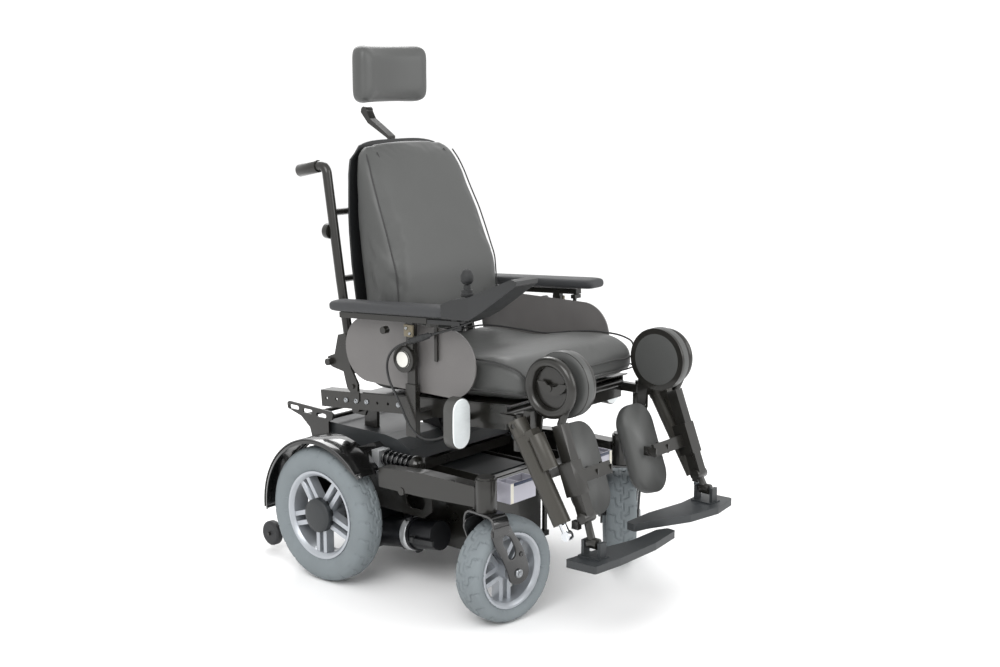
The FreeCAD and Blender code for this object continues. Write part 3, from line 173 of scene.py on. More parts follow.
class Signal:
    """A node's output that takes part in Python arithmetic, one Math node for each operation."""

    def __init__(self, shader: "Shader", socket: bpy.types.NodeSocket) -> None:
        """Wrap a socket of a shader's tree."""
        self.shader, self.socket = shader, socket

    def _math(self, operation: str, first: object, second: object) -> "Signal":
        """A Math node of two terms."""
        return self.shader.node("ShaderNodeMath", {0: first, 1: second}, operation=operation)

    def __add__(self, other: object) -> "Signal":
        """Sum."""
        return self._math("ADD", self, other)

    def __sub__(self, other: object) -> "Signal":
        """Difference."""
        return self._math("SUBTRACT", self, other)

    def __mul__(self, other: object) -> "Signal":
        """Product."""
        return self._math("MULTIPLY", self, other)

    def __rsub__(self, other: object) -> "Signal":
        """Difference from a number."""
        return self._math("SUBTRACT", other, self)

    def __pow__(self, other: object) -> "Signal":
        """Power."""
        return self._math("POWER", self, other)

    __radd__, __rmul__ = __add__, __mul__


class Shader:
    """The node tree of one finish."""

    _made: dict[str, bpy.types.Material] = {}

    def __init__(self, finish: Finish) -> None:
        """Start an empty tree for the finish."""
        self.finish = finish
        self.material = bpy.data.materials.new(finish.name)
        self.material.use_nodes = True
        self.tree = self.material.node_tree
        self.tree.nodes.clear()

    @classmethod
    def of(cls, finish: Finish) -> bpy.types.Material:
        """The material of a finish, made once."""
        if finish.name not in cls._made:
            cls._made[finish.name] = cls(finish).build()
        return cls._made[finish.name]

    def node(self, kind: str, inputs: dict[str | int, object] | None = None, output: str | int = 0,
            **settings: object) -> Signal:
        """Add a node.

        Args:
            kind: the node's type.
            inputs: values or signals by socket name or number.
            output: the socket that the result wraps.
            settings: properties, set before the inputs.

        Returns:
            The chosen output as a signal.
        """
        made = self.tree.nodes.new(kind)
        for key, value in settings.items():
            setattr(made, key, value)
        for key, value in (inputs or {}).items():
            if isinstance(value, Signal):
                self.tree.links.new(value.socket, made.inputs[key])
            else:
                made.inputs[key].default_value = value
        return Signal(self, made.outputs[output] if made.outputs else None)

    def blend(self, factor: Signal, first: object, second: object) -> Signal:
        """Mix two colours by a factor."""
        return self.node("ShaderNodeMix", {0: factor, 6: first, 7: second}, output=2, data_type="RGBA")

    def height(self, place: Signal) -> Signal:
        """The relief pattern of the finish's texture, from 0 to 1."""
        scale = 1 / self.finish.cell
        noise = self.node("ShaderNodeTexNoise", {"Vector": place, "Scale": scale, "Detail": 4.0})
        if self.finish.texture is Texture.LEATHER:
            grain = self.node("ShaderNodeTexVoronoi", {"Vector": place, "Scale": scale, "Randomness": 1.0},
                feature="DISTANCE_TO_EDGE")
            folds = self.node("ShaderNodeTexNoise",
                {"Vector": place, "Scale": 38.0, "Detail": 5.0, "Distortion": 0.6})
            return grain**0.5 * 0.8 + noise * 0.25 + folds * 1.4
        if self.finish.texture is Texture.BRUSHED:
            stretched = self.node("ShaderNodeMapping", {"Vector": place, "Scale": (0.03, 1.0, 1.0)})
            return self.node("ShaderNodeTexNoise", {"Vector": stretched, "Scale": scale * 2, "Detail": 3.0})
        if self.finish.texture is Texture.RIBBED:
            return self.node("ShaderNodeTexWave", {"Vector": place, "Scale": scale / 6.3}, output=1,
                bands_direction="Z")
        return noise

    def build(self) -> bpy.types.Material:
        """Wire the finish: mottled colour, uneven gloss, a painted highlight that lightens sharp edges, and
        the relief.
        """
        finish = self.finish
        place = self.node("ShaderNodeTexCoord", output="Object")
        cloud = self.node("ShaderNodeTexNoise", {"Vector": place, "Scale": 14.0, "Detail": 3.0})
        height = self.height(place)
        colour = self.blend(cloud, finish.linear(1 - finish.mottle), finish.linear(1 + finish.mottle))
        edge = self.node("ShaderNodeNewGeometry", output="Pointiness")
        # Painted highlight: the colour is lightened towards 1.9 times its own along sharp convex edges, where
        # light catches them.
        edge_highlight = self.node("ShaderNodeMapRange",
            {"Value": edge, "From Min": 0.53, "From Max": 0.62, "To Max": 0.3})
        colour = self.blend(edge_highlight, colour, finish.linear(1.9))
        roughness = (cloud - 0.5) * 0.16 + finish.roughness
        bump = self.node("ShaderNodeBump", {"Height": height, "Distance": finish.relief, "Strength": 0.8})
        surface = self.node(
            "ShaderNodeBsdfPrincipled",
            {"Base Color": colour, "Roughness": roughness, "Metallic": finish.metallic, "Normal": bump,
             "Coat Weight": finish.coat, "Coat Roughness": 0.06, "Alpha": finish.alpha},
        )
        self.node("ShaderNodeOutputMaterial", {"Surface": surface})
        return self.material


# ------------------------------------------------------------------ meshes


class Bench:
    """Makes the meshes of the chair's pieces and hands them to their bodies."""

    @staticmethod
    def mesh(name: str, points: Iterable[Vector], faces: Iterable[Sequence[int]],
            edges: Iterable[Sequence[int]] = ()) -> bpy.types.Object:
        """A mesh object at the origin."""
        data = bpy.data.meshes.new(name)
        data.from_pydata([tuple(p) for p in points], [tuple(e) for e in edges], [tuple(f) for f in faces])
        made = bpy.data.objects.new(name, data)
        bpy.context.scene.collection.objects.link(made)
        return made

    @staticmethod
    def stack(piece: bpy.types.Object, kind: str, **settings: object) -> bpy.types.Modifier:
        """Add a modifier with its settings."""
        modifier = piece.modifiers.new(kind.lower(), kind)
        for key, value in settings.items():
            setattr(modifier, key, value)
        return modifier

    @classmethod
    def ease(cls, piece: bpy.types.Object, width: float, segments: int = 2, angle: float = 50) -> None:
        """Bevel the edges that are sharper than an angle in degrees, by a width in millimetres."""
        cls.stack(piece, "BEVEL", width=width * MILLIMETRE, segments=segments, limit_method="ANGLE",
                  angle_limit=math.radians(angle))

    @staticmethod
    def settle(piece: bpy.types.Object) -> bpy.types.Object:
        """Apply a piece's whole stack."""
        graph = bpy.context.evaluated_depsgraph_get()
        data = bpy.data.meshes.new_from_object(piece.evaluated_get(graph))
        piece.modifiers.clear()
        piece.data = data
        return piece

    @staticmethod
    def stand(piece: bpy.types.Object, place: Place) -> bpy.types.Object:
        """Apply a piece's place to its mesh."""
        piece.data.transform(place.matrix())
        piece.data.update()
        return piece

    @staticmethod
    def tidy(piece: bpy.types.Object, merge: float = 1e-5) -> bpy.types.Object:
        """Merge doubles and turn every face outwards."""
        work = bmesh.new()
        work.from_mesh(piece.data)
        bmesh.ops.remove_doubles(work, verts=work.verts, dist=merge)
        bmesh.ops.recalc_face_normals(work, faces=work.faces)
        work.to_mesh(piece.data)
        work.free()
        return piece

    @staticmethod
    def dress(piece: bpy.types.Object, finish: Finish, body: str,
            shade_smooth: bool = True) -> bpy.types.Object:
        """Give a piece its finish and its body.

        Args:
            piece: the piece.
            finish: what it is covered with.
            body: the frame's body that it moves with.
            shade_smooth: whether its faces are shaded smooth.

        Returns:
            The piece.
        """
        piece.data.materials.clear()
        piece.data.materials.append(Shader.of(finish))
        if piece.type == "MESH":
            piece.data.polygons.foreach_set("use_smooth", [shade_smooth] * len(piece.data.polygons))
        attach(piece, body)
        return piece

    @classmethod
    def turned(cls, name: str, profile: Profile, place: Place, steps: int = 48) -> bpy.types.Object:
        """A turned shape round its own Z.

        Args:
            name: the piece's name.
            profile: radius and height in millimetres, from the top down; closed if its ends meet.
            place: where it stands.
            steps: faces round the axis.

        Returns:
            The piece.
        """
        closed = profile[0] == profile[-1]
        rows = profile[:-1] if closed else profile
        points = [Vector((r, 0, h)) * MILLIMETRE for r, h in rows]
        edges = [(i, i + 1) for i in range(len(rows) - 1)] + ([(len(rows) - 1, 0)] if closed else [])
        piece = cls.mesh(name, points, [], edges)
        cls.stack(piece, "SCREW", steps=steps, render_steps=steps, use_merge_vertices=True,
            merge_threshold=1e-5, use_smooth_shade=True)
        cls.tidy(cls.settle(piece))
        return cls.stand(piece, place)

    @classmethod
    def block(cls, name: str, size: Point, place: Place, bevel: float = 1.0,
            segments: int = 3) -> bpy.types.Object:
        """A bevelled block, its size in millimetres along its own axes."""
        x, y, z = (c / 2 * MILLIMETRE for c in size)
        points = [Vector((a * x, b * y, c * z)) for c in (-1, 1) for b in (-1, 1) for a in (-1, 1)]
        faces = [(0, 2, 3, 1), (4, 5, 7, 6), (0, 1, 5, 4), (2, 6, 7, 3), (0, 4, 6, 2), (1, 3, 7, 5)]
        piece = cls.stand(cls.mesh(name, points, faces), place)
        cls.ease(piece, bevel, segments, 30)
        return piece

    @classmethod
    def cut_out(cls, name: str, outlines: Sequence[Profile], thickness: float, place: Place,
            bevel: float = 1.0) -> bpy.types.Object:
        """A plate with smooth outlines, the first its edge and the others its windows, in its own XY."""
        data = bpy.data.curves.new(name, "CURVE")
        data.dimensions, data.fill_mode = "2D", "BOTH"
        data.extrude, data.bevel_depth = (thickness / 2 - bevel) * MILLIMETRE, bevel * MILLIMETRE
        data.bevel_resolution, data.resolution_u = 2, 6
        for outline in outlines:
            line = data.splines.new("BEZIER")
            line.bezier_points.add(len(outline) - 1)
            for knot, (x, y) in zip(line.bezier_points, outline):
                knot.co = Vector((x, y, 0)) * MILLIMETRE
                knot.handle_left_type = knot.handle_right_type = "AUTO"
            line.use_cyclic_u = True
        maker = bpy.data.objects.new(name + "_outline", data)
        mesh = bpy.data.meshes.new_from_object(maker)
        bpy.data.objects.remove(maker)
        piece = bpy.data.objects.new(name, mesh)
        bpy.context.scene.collection.objects.link(piece)
        return cls.stand(cls.tidy(piece), place)

    @classmethod
    def strap(cls, name: str, route: Profile, width: float, thickness: float,
            place: Place) -> bpy.types.Object:
        """A flat strap bent along a route in its own XY, its width along its own Z."""
        points, faces = [], []
        half = len(route)
        for index, (x, y) in enumerate(route):
            before, after = Vector(route[max(0, index - 1)]), Vector(route[min(half - 1, index + 1)])
            across = (after - before).normalized().orthogonal() * thickness / 2
            for z in (-width / 2, width / 2):
                for sign in (1, -1):
                    points.append(Vector((x + sign * across.x, y + sign * across.y, z)) * MILLIMETRE)
        for index in range(half - 1):
            a, b = index * 4, index * 4 + 4
            for first, second in ((0, 1), (1, 3), (3, 2), (2, 0)):
                faces.append((a + first, a + second, b + second, b + first))
        faces += [(0, 1, 3, 2), tuple(len(points) - 4 + k for k in (0, 1, 3, 2))]
        piece = cls.stand(cls.tidy(cls.mesh(name, points, faces)), place)
        cls.ease(piece, 1.2)
        return piece

    @classmethod
    def tube(cls, name: str, route: Sequence[Point], radius: float, closed: bool = False,
            steps: int = 3) -> bpy.types.Object:
        """A round tube or wire along a smooth route, in the chair's millimetres."""
        data = bpy.data.curves.new(name, "CURVE")
        data.dimensions, data.bevel_depth, data.bevel_resolution = "3D", radius * MILLIMETRE, steps
        data.resolution_u = data.render_resolution_u = 8
        data.use_fill_caps = not closed
        line = data.splines.new("BEZIER")
        line.bezier_points.add(len(route) - 1)
        for knot, point in zip(line.bezier_points, route):
            knot.co = chair(*point)
            knot.handle_left_type = knot.handle_right_type = "AUTO"
        line.use_cyclic_u = closed
        made = bpy.data.objects.new(name, data)
        bpy.context.scene.collection.objects.link(made)
        return made

    @classmethod
    def bolt(cls, name: str, place: Place, radius: float = 5.0, height: float = 4.0) -> bpy.types.Object:
        """A socket-head screw: a domed head with a round recess."""
        profile = [(0, height * 0.55), (radius * 0.48, height * 0.55), (radius * 0.52, height)]
        profile += [(radius * 0.8, height * 0.96), (radius, height * 0.6), (radius, 0), (0, 0)]
        return cls.turned(name, profile, place, steps=24)


@dataclass(frozen=True)
class Pad:
    """A stuffed pad grown from a rounded block, warped, filled and wrinkled.

    Lengths are millimetres along the pad's own axes; warp moves a point of the block, in millimetres.
    """

    name: str
    half: Point
    rounding: float
    place: Place
    warp: Callable[[Vector], Vector]
    cells: tuple[int, int, int] = (12, 12, 4)
    voxel: float = 7.0
    pressure: float = 3.0
    swell: float = 6.0

    def cage(self) -> bpy.types.Object:
        """The rounded and warped block as one closed cage."""
        corners = [Vector(self.half), Vector(c - self.rounding for c in self.half)]
        index: dict[tuple[int, int, int], int] = {}
        points: list[Vector] = []
        faces: list[tuple[int, ...]] = []

        def corner(cell: tuple[int, int, int]) -> int:
            if cell not in index:
                raw = Vector((2 * c / n - 1) * h for c, n, h in zip(cell, self.cells, corners[0]))
                inner = Vector(max(-lim, min(lim, v)) for v, lim in zip(raw, corners[1]))
                out = raw - inner
                point = inner + out.normalized() * self.rounding if out.length > 1e-9 else raw
                index[cell] = len(points)
                points.append(self.warp(point) * MILLIMETRE)
            return index[cell]

        for axis in range(3):
            first, second = (axis + 1) % 3, (axis + 2) % 3
            for level in (0, self.cells[axis]):
                for i in range(self.cells[first]):
                    for j in range(self.cells[second]):
                        quad = []
                        for a, b in ((0, 0), (1, 0), (1, 1), (0, 1)):
                            cell = [0, 0, 0]
                            cell[axis], cell[first], cell[second] = level, i + a, j + b
                            quad.append(corner(tuple(cell)))
                        faces.append(tuple(quad if level else reversed(quad)))
        return Bench.tidy(Bench.stand(Bench.mesh(self.name, points, faces), self.place))

    def fill(self, piece: bpy.types.Object) -> None:
        """Remesh the cage evenly and let the cloth swell under pressure, no further than the cap."""
        Bench.stack(piece, "SUBSURF", levels=1, render_levels=1)
        Bench.stack(piece, "REMESH", mode="VOXEL", voxel_size=self.voxel * MILLIMETRE)
        Bench.settle(piece)
        before = [v.co.copy() for v in piece.data.vertices]
        cloth = piece.modifiers.new("cloth", "CLOTH").settings
        cloth.quality = 5
        cloth.mass = 0.35
        cloth.use_pressure = True
        cloth.uniform_pressure_force = self.pressure
        cloth.tension_stiffness = cloth.compression_stiffness = 18
        cloth.bending_stiffness = 0.6
        cloth.effector_weights.gravity = 0.0
        scene = bpy.context.scene
        for frame in range(1, 21):
            scene.frame_set(frame)
        Bench.settle(piece)
        scene.frame_set(1)
        for vertex, start in zip(piece.data.vertices, before):
            shift = vertex.co - start
            if shift.length > self.swell * MILLIMETRE:
                vertex.co = start + shift.normalized() * self.swell * MILLIMETRE
        piece.data.update()

    def build(self, finish: Finish, body: str, replaces: str, fill: float = 0.7) -> bpy.types.Object:
        """Make the pad and let it stand for its plain solid.

        Args:
            finish: its cover.
            body: the body it moves with.
            replaces: the frame's node that it stands for.
            fill: not used.

        Returns:
            The pad.
        """
        piece = self.cage()
        self.fill(piece)
        Bench.stack(piece, "SMOOTH", factor=0.5, iterations=4)
        Bench.stack(piece, "SUBSURF", levels=1, render_levels=1)
        Bench.dress(piece, finish, body)
        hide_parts(replaces)
        return piece


class Assembly(ABC):
    """A sub-assembly of the chair that builds its own pieces."""

    @abstractmethod
    def build(self) -> None:
        """Make every piece of the sub-assembly."""


# ------------------------------------------------------------------ wheels


@dataclass(frozen=True)
class TreadedTyre:
    """A pneumatic tyre with a chevron tread cut into its crown."""

    radius: float
    width: float
    bead: float
    pitches: int
    groove: float = 2.6
    steps_per_pitch: int = 16

    def section(self) -> list[tuple[float, float, float]]:
        """Points of the section from one bead over the crown to the other: lateral place, radius and share
        across the tread.
        """
        middle = self.bead + (self.radius - self.bead) * 0.48
        rows = []
        for degrees in [*range(-138, -90, 8), *(x * 2.5 for x in range(-36, 37)), *range(98, 139, 8)]:
            t = math.radians(degrees)
            lateral = math.copysign(abs(math.sin(t)) ** 0.72, t) * self.width / 2
            if abs(degrees) <= 90:
                radius = middle + (self.radius - middle) * abs(math.cos(t)) ** 0.8
            else:
                radius = middle - (middle - self.bead) * abs(math.cos(t)) / abs(math.cos(math.radians(138)))
            rows.append((lateral, radius, lateral / (self.width / 2)))
        return rows

    def cut(self, turn: float, across: float) -> float:
        """Depth of the tread at a count of pitches round the tyre and a share across it: stepped bars
        meeting a broken centre line.
        """
        wide = abs(across)
        if wide > 0.97:
            return 0.0
        phase = (turn + (0.5 if across > 0 else 0.0)) % 1.0
        step = 0.30 if wide < 0.36 else (0.30 + (wide - 0.36) * 3.2 if wide < 0.5 else 0.75)
        bar = wide > 0.08 and abs(phase - (step + (wide - 0.5) * 0.25) % 1.0) < 0.055
        drop = abs(wide - 0.43) < 0.035 and (0.28 < phase < 0.76)
        centre = abs(across - (0.07 if turn % 1.0 < 0.5 else -0.07)) < 0.035
        return self.groove if bar or drop or centre else 0.0

    def build(self, name: str, place: Place, body: str, node: str) -> None:
        """Make the tyre in place of its plain ring."""
        section = self.section()
        steps = self.pitches * self.steps_per_pitch
        points, faces = [], []
        for step in range(steps):
            angle = 360 * step / steps
            for lateral, radius, across in section:
                depth = self.cut(step / self.steps_per_pitch, across)
                x, y = polar(radius - depth, angle)
                points.append(Vector((x, y, lateral)) * MILLIMETRE)
        rows = len(section)
        for step in range(steps):
            here, there = step * rows, (step + 1) % steps * rows
            for row in range(rows):
                beside = (row + 1) % rows
                faces.append((here + row, there + row, there + beside, here + beside))
        tyre = Bench.tidy(Bench.stand(Bench.mesh(name, points, faces), place))
        Bench.dress(tyre, TYRE, body)
        tyre.data.set_sharp_from_angle(angle=math.radians(38))
        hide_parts(node)


@dataclass
class Wheels(Assembly):
    """Tyres, hub caps and valves of the wheels, and the caster forks."""

    drive_radius: float = 178.0
    drive_width: float = 78.0
    drive_bead: float = 116.4
    drive_y: float = 297.0
    caster_radius: float = 130.0
    caster_width: float = 80.0
    caster_bead: float = 94.4
    caster_trail: float = 57.0
    drive_pitches: int = 22
    caster_pitches: int = 18
    stem_x: float = 525.0
    stem_y: float = 272.0
    leg_offset: float = 49.0
    strap: float = 6.0
    strap_width: float = 50.0
    caster_angles: dict[Side, float] = field(default_factory=lambda: {Side.RIGHT: 83.3, Side.LEFT: 129.25})

    def drive(self, side: Side) -> None:
        """Tyre, hub cap and valve of a drive wheel."""
        word, sign = side.word, side.value
        body = f"drive_wheel_{word}"
        hub = (0.0, sign * self.drive_y, self.drive_radius)
        out = Place(hub, (0, sign, 0), (1, 0, 0))
        tyre = TreadedTyre(self.drive_radius, self.drive_width, self.drive_bead, self.drive_pitches)
        tyre.build(f"drive_tread_{word}", out, body, f"drive_tyre_{word}")
        profile = [(0, 43.5), (30, 43), (39, 41.5), (42, 39), (43.5, 38.6), (44.5, 36), (44.5, 20), (0, 20)]
        cap = Bench.turned(f"hub_cap_{word}", profile, out)
        Bench.dress(cap, DARK, body)
        rim_x, rim_y = polar(self.drive_bead - 16, 62)
        profile = [(0, 15), (2.6, 15), (3.2, 13), (3.2, 4), (4.4, 3), (4.4, -10), (0, -10)]
        place = Place((hub[0] + rim_x, hub[1] + sign * 6, hub[2] + rim_y), (-rim_x, sign * 30, -rim_y))
        valve = Bench.turned(f"valve_{word}", profile, place, steps=16)
        Bench.dress(valve, RUBBER, body)

    def caster(self, side: Side) -> None:
        """Tyre of a caster, on the axis of its joint."""
        word = side.word
        body = f"caster_wheel_{word}"
        joint = next(j for j in FRAME["joints"] if j["name"] == f"caster_spin_{word}")
        hub = tuple((Vector(joint["pos_m"]) - AXLE_POINT) / MILLIMETRE)
        place = Place(hub, tuple(joint["axis"]), (0, 0, 1))
        tyre = TreadedTyre(self.caster_radius, self.caster_width, self.caster_bead, self.caster_pitches)
        tyre.build(f"caster_tread_{word}", place, body, f"caster_tyre_{word}")

    def fork(self, side: Side) -> None:
        """Bent strap fork with windowed legs, axle nuts and bolts."""
        word = side.word
        body = f"caster_fork_{word}"
        stem = (self.stem_x, side.value * self.stem_y)
        along = polar(1.0, self.caster_angles[side])
        across = (-along[1], along[0])
        bend = [(28, 282), (38, 280.5), (46, 275), (50.5, 266), (52, 256), (52, 236)]
        crown = [(-y, z) for y, z in reversed(bend)] + bend
        place = Place((*stem, 0), (*along, 0), (*across, 0))
        pieces = [Bench.strap(f"fork_crown_{word}", crown, self.strap_width, self.strap, place)]
        edge = [(-25, 252), (-20, 222), (10, 170), (28, 130), (35, 112), (48, 104), (68, 104), (84, 112)]
        edge += [(90, 130), (84, 158), (62, 204), (36, 240), (25, 258), (0, 262)]
        window = [(20, 190), (26, 172), (40, 168), (50, 178), (42, 208), (26, 230), (10, 232), (6, 216)]
        for turn in (-1, 1):
            offset = turn * self.leg_offset
            middle = (stem[0] + across[0] * offset, stem[1] + across[1] * offset, 0.0)
            leg = Place(middle, (-across[0], -across[1], 0.0), (*along, 0))
            name = f"fork_leg_{word}_{turn + 1}"
            pieces.append(Bench.cut_out(name, [edge, window], self.strap, leg, 1.4))
            face = [m + a * turn * 3 for m, a in zip(middle, (*across, 0.0))]
            bolts = (((self.caster_trail, self.caster_radius), 11, 6, STEEL), ((66, 176), 6, 4, GLOSS))
            for index, ((x, z), radius, height, finish) in enumerate(bolts):
                spot = (face[0] + along[0] * x, face[1] + along[1] * x, z)
                place = Place(spot, (across[0] * turn, across[1] * turn, 0))
                bolt = Bench.bolt(f"fork_bolt_{word}_{turn + 1}_{index}", place, radius, height)
                Bench.dress(bolt, finish, body)
        profile = [(0, 336), (11.9, 336), (11.9, 287), (20, 286), (20, 284), (0, 284)]
        post = Bench.turned(f"fork_post_{word}", profile, Place((*stem, 0)))
        centre = (stem[0] + along[0] * self.caster_trail, stem[1] + along[1] * self.caster_trail)
        axle = Place((*centre, self.caster_radius), (*across, 0), (*along, 0))
        pin = Bench.turned(f"fork_axle_{word}", [(0, 50), (7.9, 50), (7.9, -50), (0, -50)], axle, steps=24)
        for piece in (*pieces, post, pin):
            Bench.dress(piece, GLOSS, body)
            piece.data.set_sharp_from_angle(angle=math.radians(40))
            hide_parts(f"caster_fork_{word}")

    def build(self) -> None:
        """Make both sides."""
        for side in Side:
            self.drive(side)
            self.caster(side)
            self.fork(side)


# ------------------------------------------------------------------ upholstery


def between(value: float, table: Profile) -> float:
    """Linear reading of a table of rising keys."""
    if value <= table[0][0]:
        return table[0][1]
    for (low, first), (high, second) in zip(table, table[1:]):
        if value <= high:
            return first + (second - first) * (value - low) / (high - low)
    return table[-1][1]


@dataclass
class Upholstery(Assembly):
    """Seat cushion, back cushion and shell, headrest, armrest pads and calf pads."""

    seat_middle: float = 341.0
    seat_half: Point = (262.0, 236.0, 60.0)
    seat_bottom: Profile = ((79.0, 509.0), (590.0, 553.0), (606.0, 560.0))
    seat_top: Profile = ((79.0, 612.0), (300.0, 613.0), (430.0, 636.0), (545.0, 642.0), (590.0, 622.0),
        (606.0, 590.0))
    back_low: float = 630.0
    back_high: float = 1131.0
    back_rear: Profile = ((628.0, 74.0), (700.0, 33.0), (900.0, 5.0), (1130.0, -14.0))
    back_front: Profile = ((628.0, 155.0), (700.0, 182.0), (810.0, 172.0), (940.0, 118.0), (1050.0, 64.0),
        (1112.0, 28.0), (1134.0, 4.0))
    back_width: Profile = ((628.0, 0.95), (700.0, 1.01), (820.0, 1.02), (940.0, 0.99), (1050.0, 0.93),
        (1131.0, 0.84))

    def seat_warp(self, point: Vector) -> Vector:
        """The seat block shaped: pitched base, shallow hollow for the thighs, raised sides and a rolled
        front.
        """
        share = (point.z + self.seat_half[2]) / (2 * self.seat_half[2])
        x = self.seat_middle + point.x
        low, high = between(x, self.seat_bottom), between(x, self.seat_top)
        across = point.y / self.seat_half[1]
        hollow = -7.0 * (1 - across * across) * smooth(x, 90, 260) * (1 - smooth(x, 520, 600))
        y = point.y * (1 - 0.02 * smooth(abs(point.x), 180, 262))
        return Vector((x, y, low + (high - low) * share + hollow * share))

    def back_warp(self, point: Vector) -> Vector:
        """The back block shaped: leaning rear face, lumbar bulge and shoulders that draw in."""
        up = (point.z + 250) / 500
        z = self.back_low + (self.back_high - self.back_low) * up
        rear, front = between(z, self.back_rear), between(z, self.back_front)
        share = (point.x + 60) / 120
        across = point.y / 200
        side = 10.0 * abs(across) ** 3 * smooth(z, 640, 760) * (1 - smooth(z, 860, 1050))
        x = rear + (front - rear) * share * (1 - 0.12 * across * across) + side * share
        return Vector((x, point.y * between(z, self.back_width),
            z - 14 * across * across * smooth(z, 1060, 1131)))

    def seat(self) -> None:
        """Seat cushion with its piping at the top and the bottom."""
        pad = Pad("seat_upholstery", self.seat_half, 26, Place((0, 0, 0)), self.seat_warp, (16, 14, 5),
            voxel=7.5)
        pad.build(LEATHER, "seat", "seat_cushion", fill=0.8)
        for share, level in ((0.985, "top"), (0.2, "low")):
            loop = []
            for x, y in self.rounded(262, 236, 34):
                spot = self.seat_warp(Vector((x, y, (2 * share - 1) * self.seat_half[2])))
                loop.append((spot.x, spot.y, spot.z + (1.0 if level == "top" else 0.0)))
            welt = Bench.tube(f"seat_welt_{level}", loop, 2.4 if level == "top" else 2.0, closed=True)
            Bench.dress(welt, STITCH, "seat")

    def back(self) -> None:
        """Back cushion with curved side seams."""
        pad = Pad("back_upholstery", (60, 197, 250), 30, Place((0, 0, 0)), self.back_warp, (6, 14, 18),
            voxel=7.5)
        pad.build(LEATHER, "back", "back_cushion", fill=0.75)
        for side in Side:
            for index, inset in enumerate((0, 42)):
                route = []
                for step in range(15):
                    z = -225 + 450 * step / 14
                    bow = 18 * math.sin(math.pi * step / 14) if index else 0.0
                    across = side.value * (186 - inset - bow)
                    spot = self.back_warp(Vector((58.5 if index else 50, across, z)))
                    route.append((spot.x + (0.5 if index else 3.5), spot.y, spot.z))
                seam = Bench.tube(f"back_seam_{side.word}_{index}", route, 1.9)
                Bench.dress(seam, STITCH, "back")

    @staticmethod
    def rounded(half_x: float, half_y: float, radius: float) -> list[tuple[float, float]]:
        """A rectangle with round corners, as points on its edge."""
        points = []
        for turn, (a, b) in enumerate(((1, 1), (-1, 1), (-1, -1), (1, -1))):
            for step in range(4):
                x, y = polar(radius, 90 * turn + 30 * step)
                points.append((a * (half_x - radius) + x, b * (half_y - radius) + y))
            if turn % 2 == 0:
                points += [(a * (half_x - radius) * share, b * half_y) for share in (0.6, 0.2, -0.2, -0.6)]
            else:
                points += [(a * half_x, b * (half_y - radius) * share) for share in (0.6, 0.2, -0.2, -0.6)]
        return points

    def crowned(self, name: str, half_width: float, half_height: float, depth: float, place: Place,
            body: str) -> bpy.types.Object:
        """A crowned round or oblong pad with a rim, its face up its own Z, its length along its own X."""
        rows = [(1.0, 0.0), (1.0, 0.45), (0.985, 0.62), (0.955, 0.7), (0.93, 0.69), (0.91, 0.74),
            (0.86, 0.84), (0.72, 0.93), (0.5, 0.98),
                (0.25, 1.0)]
        steps = 64
        straight = half_height - half_width
        points, faces = [Vector((0, 0, 0))], []
        for share, up in rows:
            for step in range(steps):
                x, y = polar(half_width * share, 360 * step / steps)
                points.append(Vector((x + math.copysign(straight, x) * (1 if share > 0.3 else share), y,
                    up * depth)) * MILLIMETRE)
        points.append(Vector((0, 0, depth)) * MILLIMETRE)
        for row in range(len(rows) - 1):
            for step in range(steps):
                here, there = 1 + row * steps + step, 1 + row * steps + (step + 1) % steps
                faces.append((here, there, there + steps, here + steps))
        last = 1 + (len(rows) - 1) * steps
        for step in range(steps):
            faces.append((0, 1 + (step + 1) % steps, 1 + step))
            faces.append((last + step, last + (step + 1) % steps, len(points) - 1))
        pad = Bench.stand(Bench.tidy(Bench.mesh(name, points, faces)), place)
        Bench.dress(pad, LEATHER, body)
        return pad

    def leg(self, side: Side) -> None:
        """Calf pad of a leg rest."""
        word, sign = side.word, side.value
        lean = math.radians(20.2)
        face = (-math.cos(lean), 0.0, -math.sin(lean))
        back = (690 - face[0] * 22, sign * 118.0, 385 - face[2] * 22)
        calf = self.crowned(f"calf_upholstery_{word}", 55, 112.5, 46,
            Place(back, face, (math.sin(lean), 0, -math.cos(lean))), f"calf_pad_{word}")
        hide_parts(f"calf_pad_{word}")

    def shell(self) -> None:
        """Moulded shell that hugs the back cushion's rear."""
        rows, columns = 26, 16
        points, faces = [], []
        for row in range(rows + 1):
            z = 592 + (1129 - 592) * row / rows
            rear = between(z, ((592, 60), (628, 58), (700, 23), (900, -4), (1128, -24)))
            half = 199 * between(z, self.back_width) * (1 - 0.16 * smooth(z, 1085,
                1129) - 0.18 * (1 - smooth(z, 592, 640)))
            for column in range(columns + 1):
                across = 2 * column / columns - 1
                points.append(Vector((rear + 9 * abs(across) ** 4 - 6, half * across,
                    z - 12 * across**4 * smooth(z, 1060, 1129))) * MILLIMETRE)
        wide = columns + 1
        for row in range(rows):
            for column in range(columns):
                at = row * wide + column
                faces.append((at, at + wide, at + wide + 1, at + 1))
        shell = Bench.stand(Bench.mesh("back_shell_moulded", points, faces), Place((0, 0, 0)))
        Bench.stack(shell, "SOLIDIFY", thickness=5 * MILLIMETRE, offset=0.0)
        Bench.ease(shell, 1.2)
        Bench.dress(shell, PLASTIC, "back")
        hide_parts("back_shell")

    def head(self) -> None:
        """Headrest pad whose sides come forward."""
        def warp(point: Vector) -> Vector:
            across = point.y / 124
            return Vector((point.x - 64 + 24 * across * across, point.y, point.z + 1297))

        pad = Pad("head_upholstery", (31, 124, 76), 27, Place((0, 0, 0)), warp, (5, 12, 9), voxel=5.0,
            swell=4.0)
        pad.build(LEATHER, "headrest", "headrest_pad", fill=0.85)

    def arm(self, side: Side) -> None:
        """Moulded armrest pad."""
        word, sign = side.word, side.value
        tilt = math.radians(3.6)

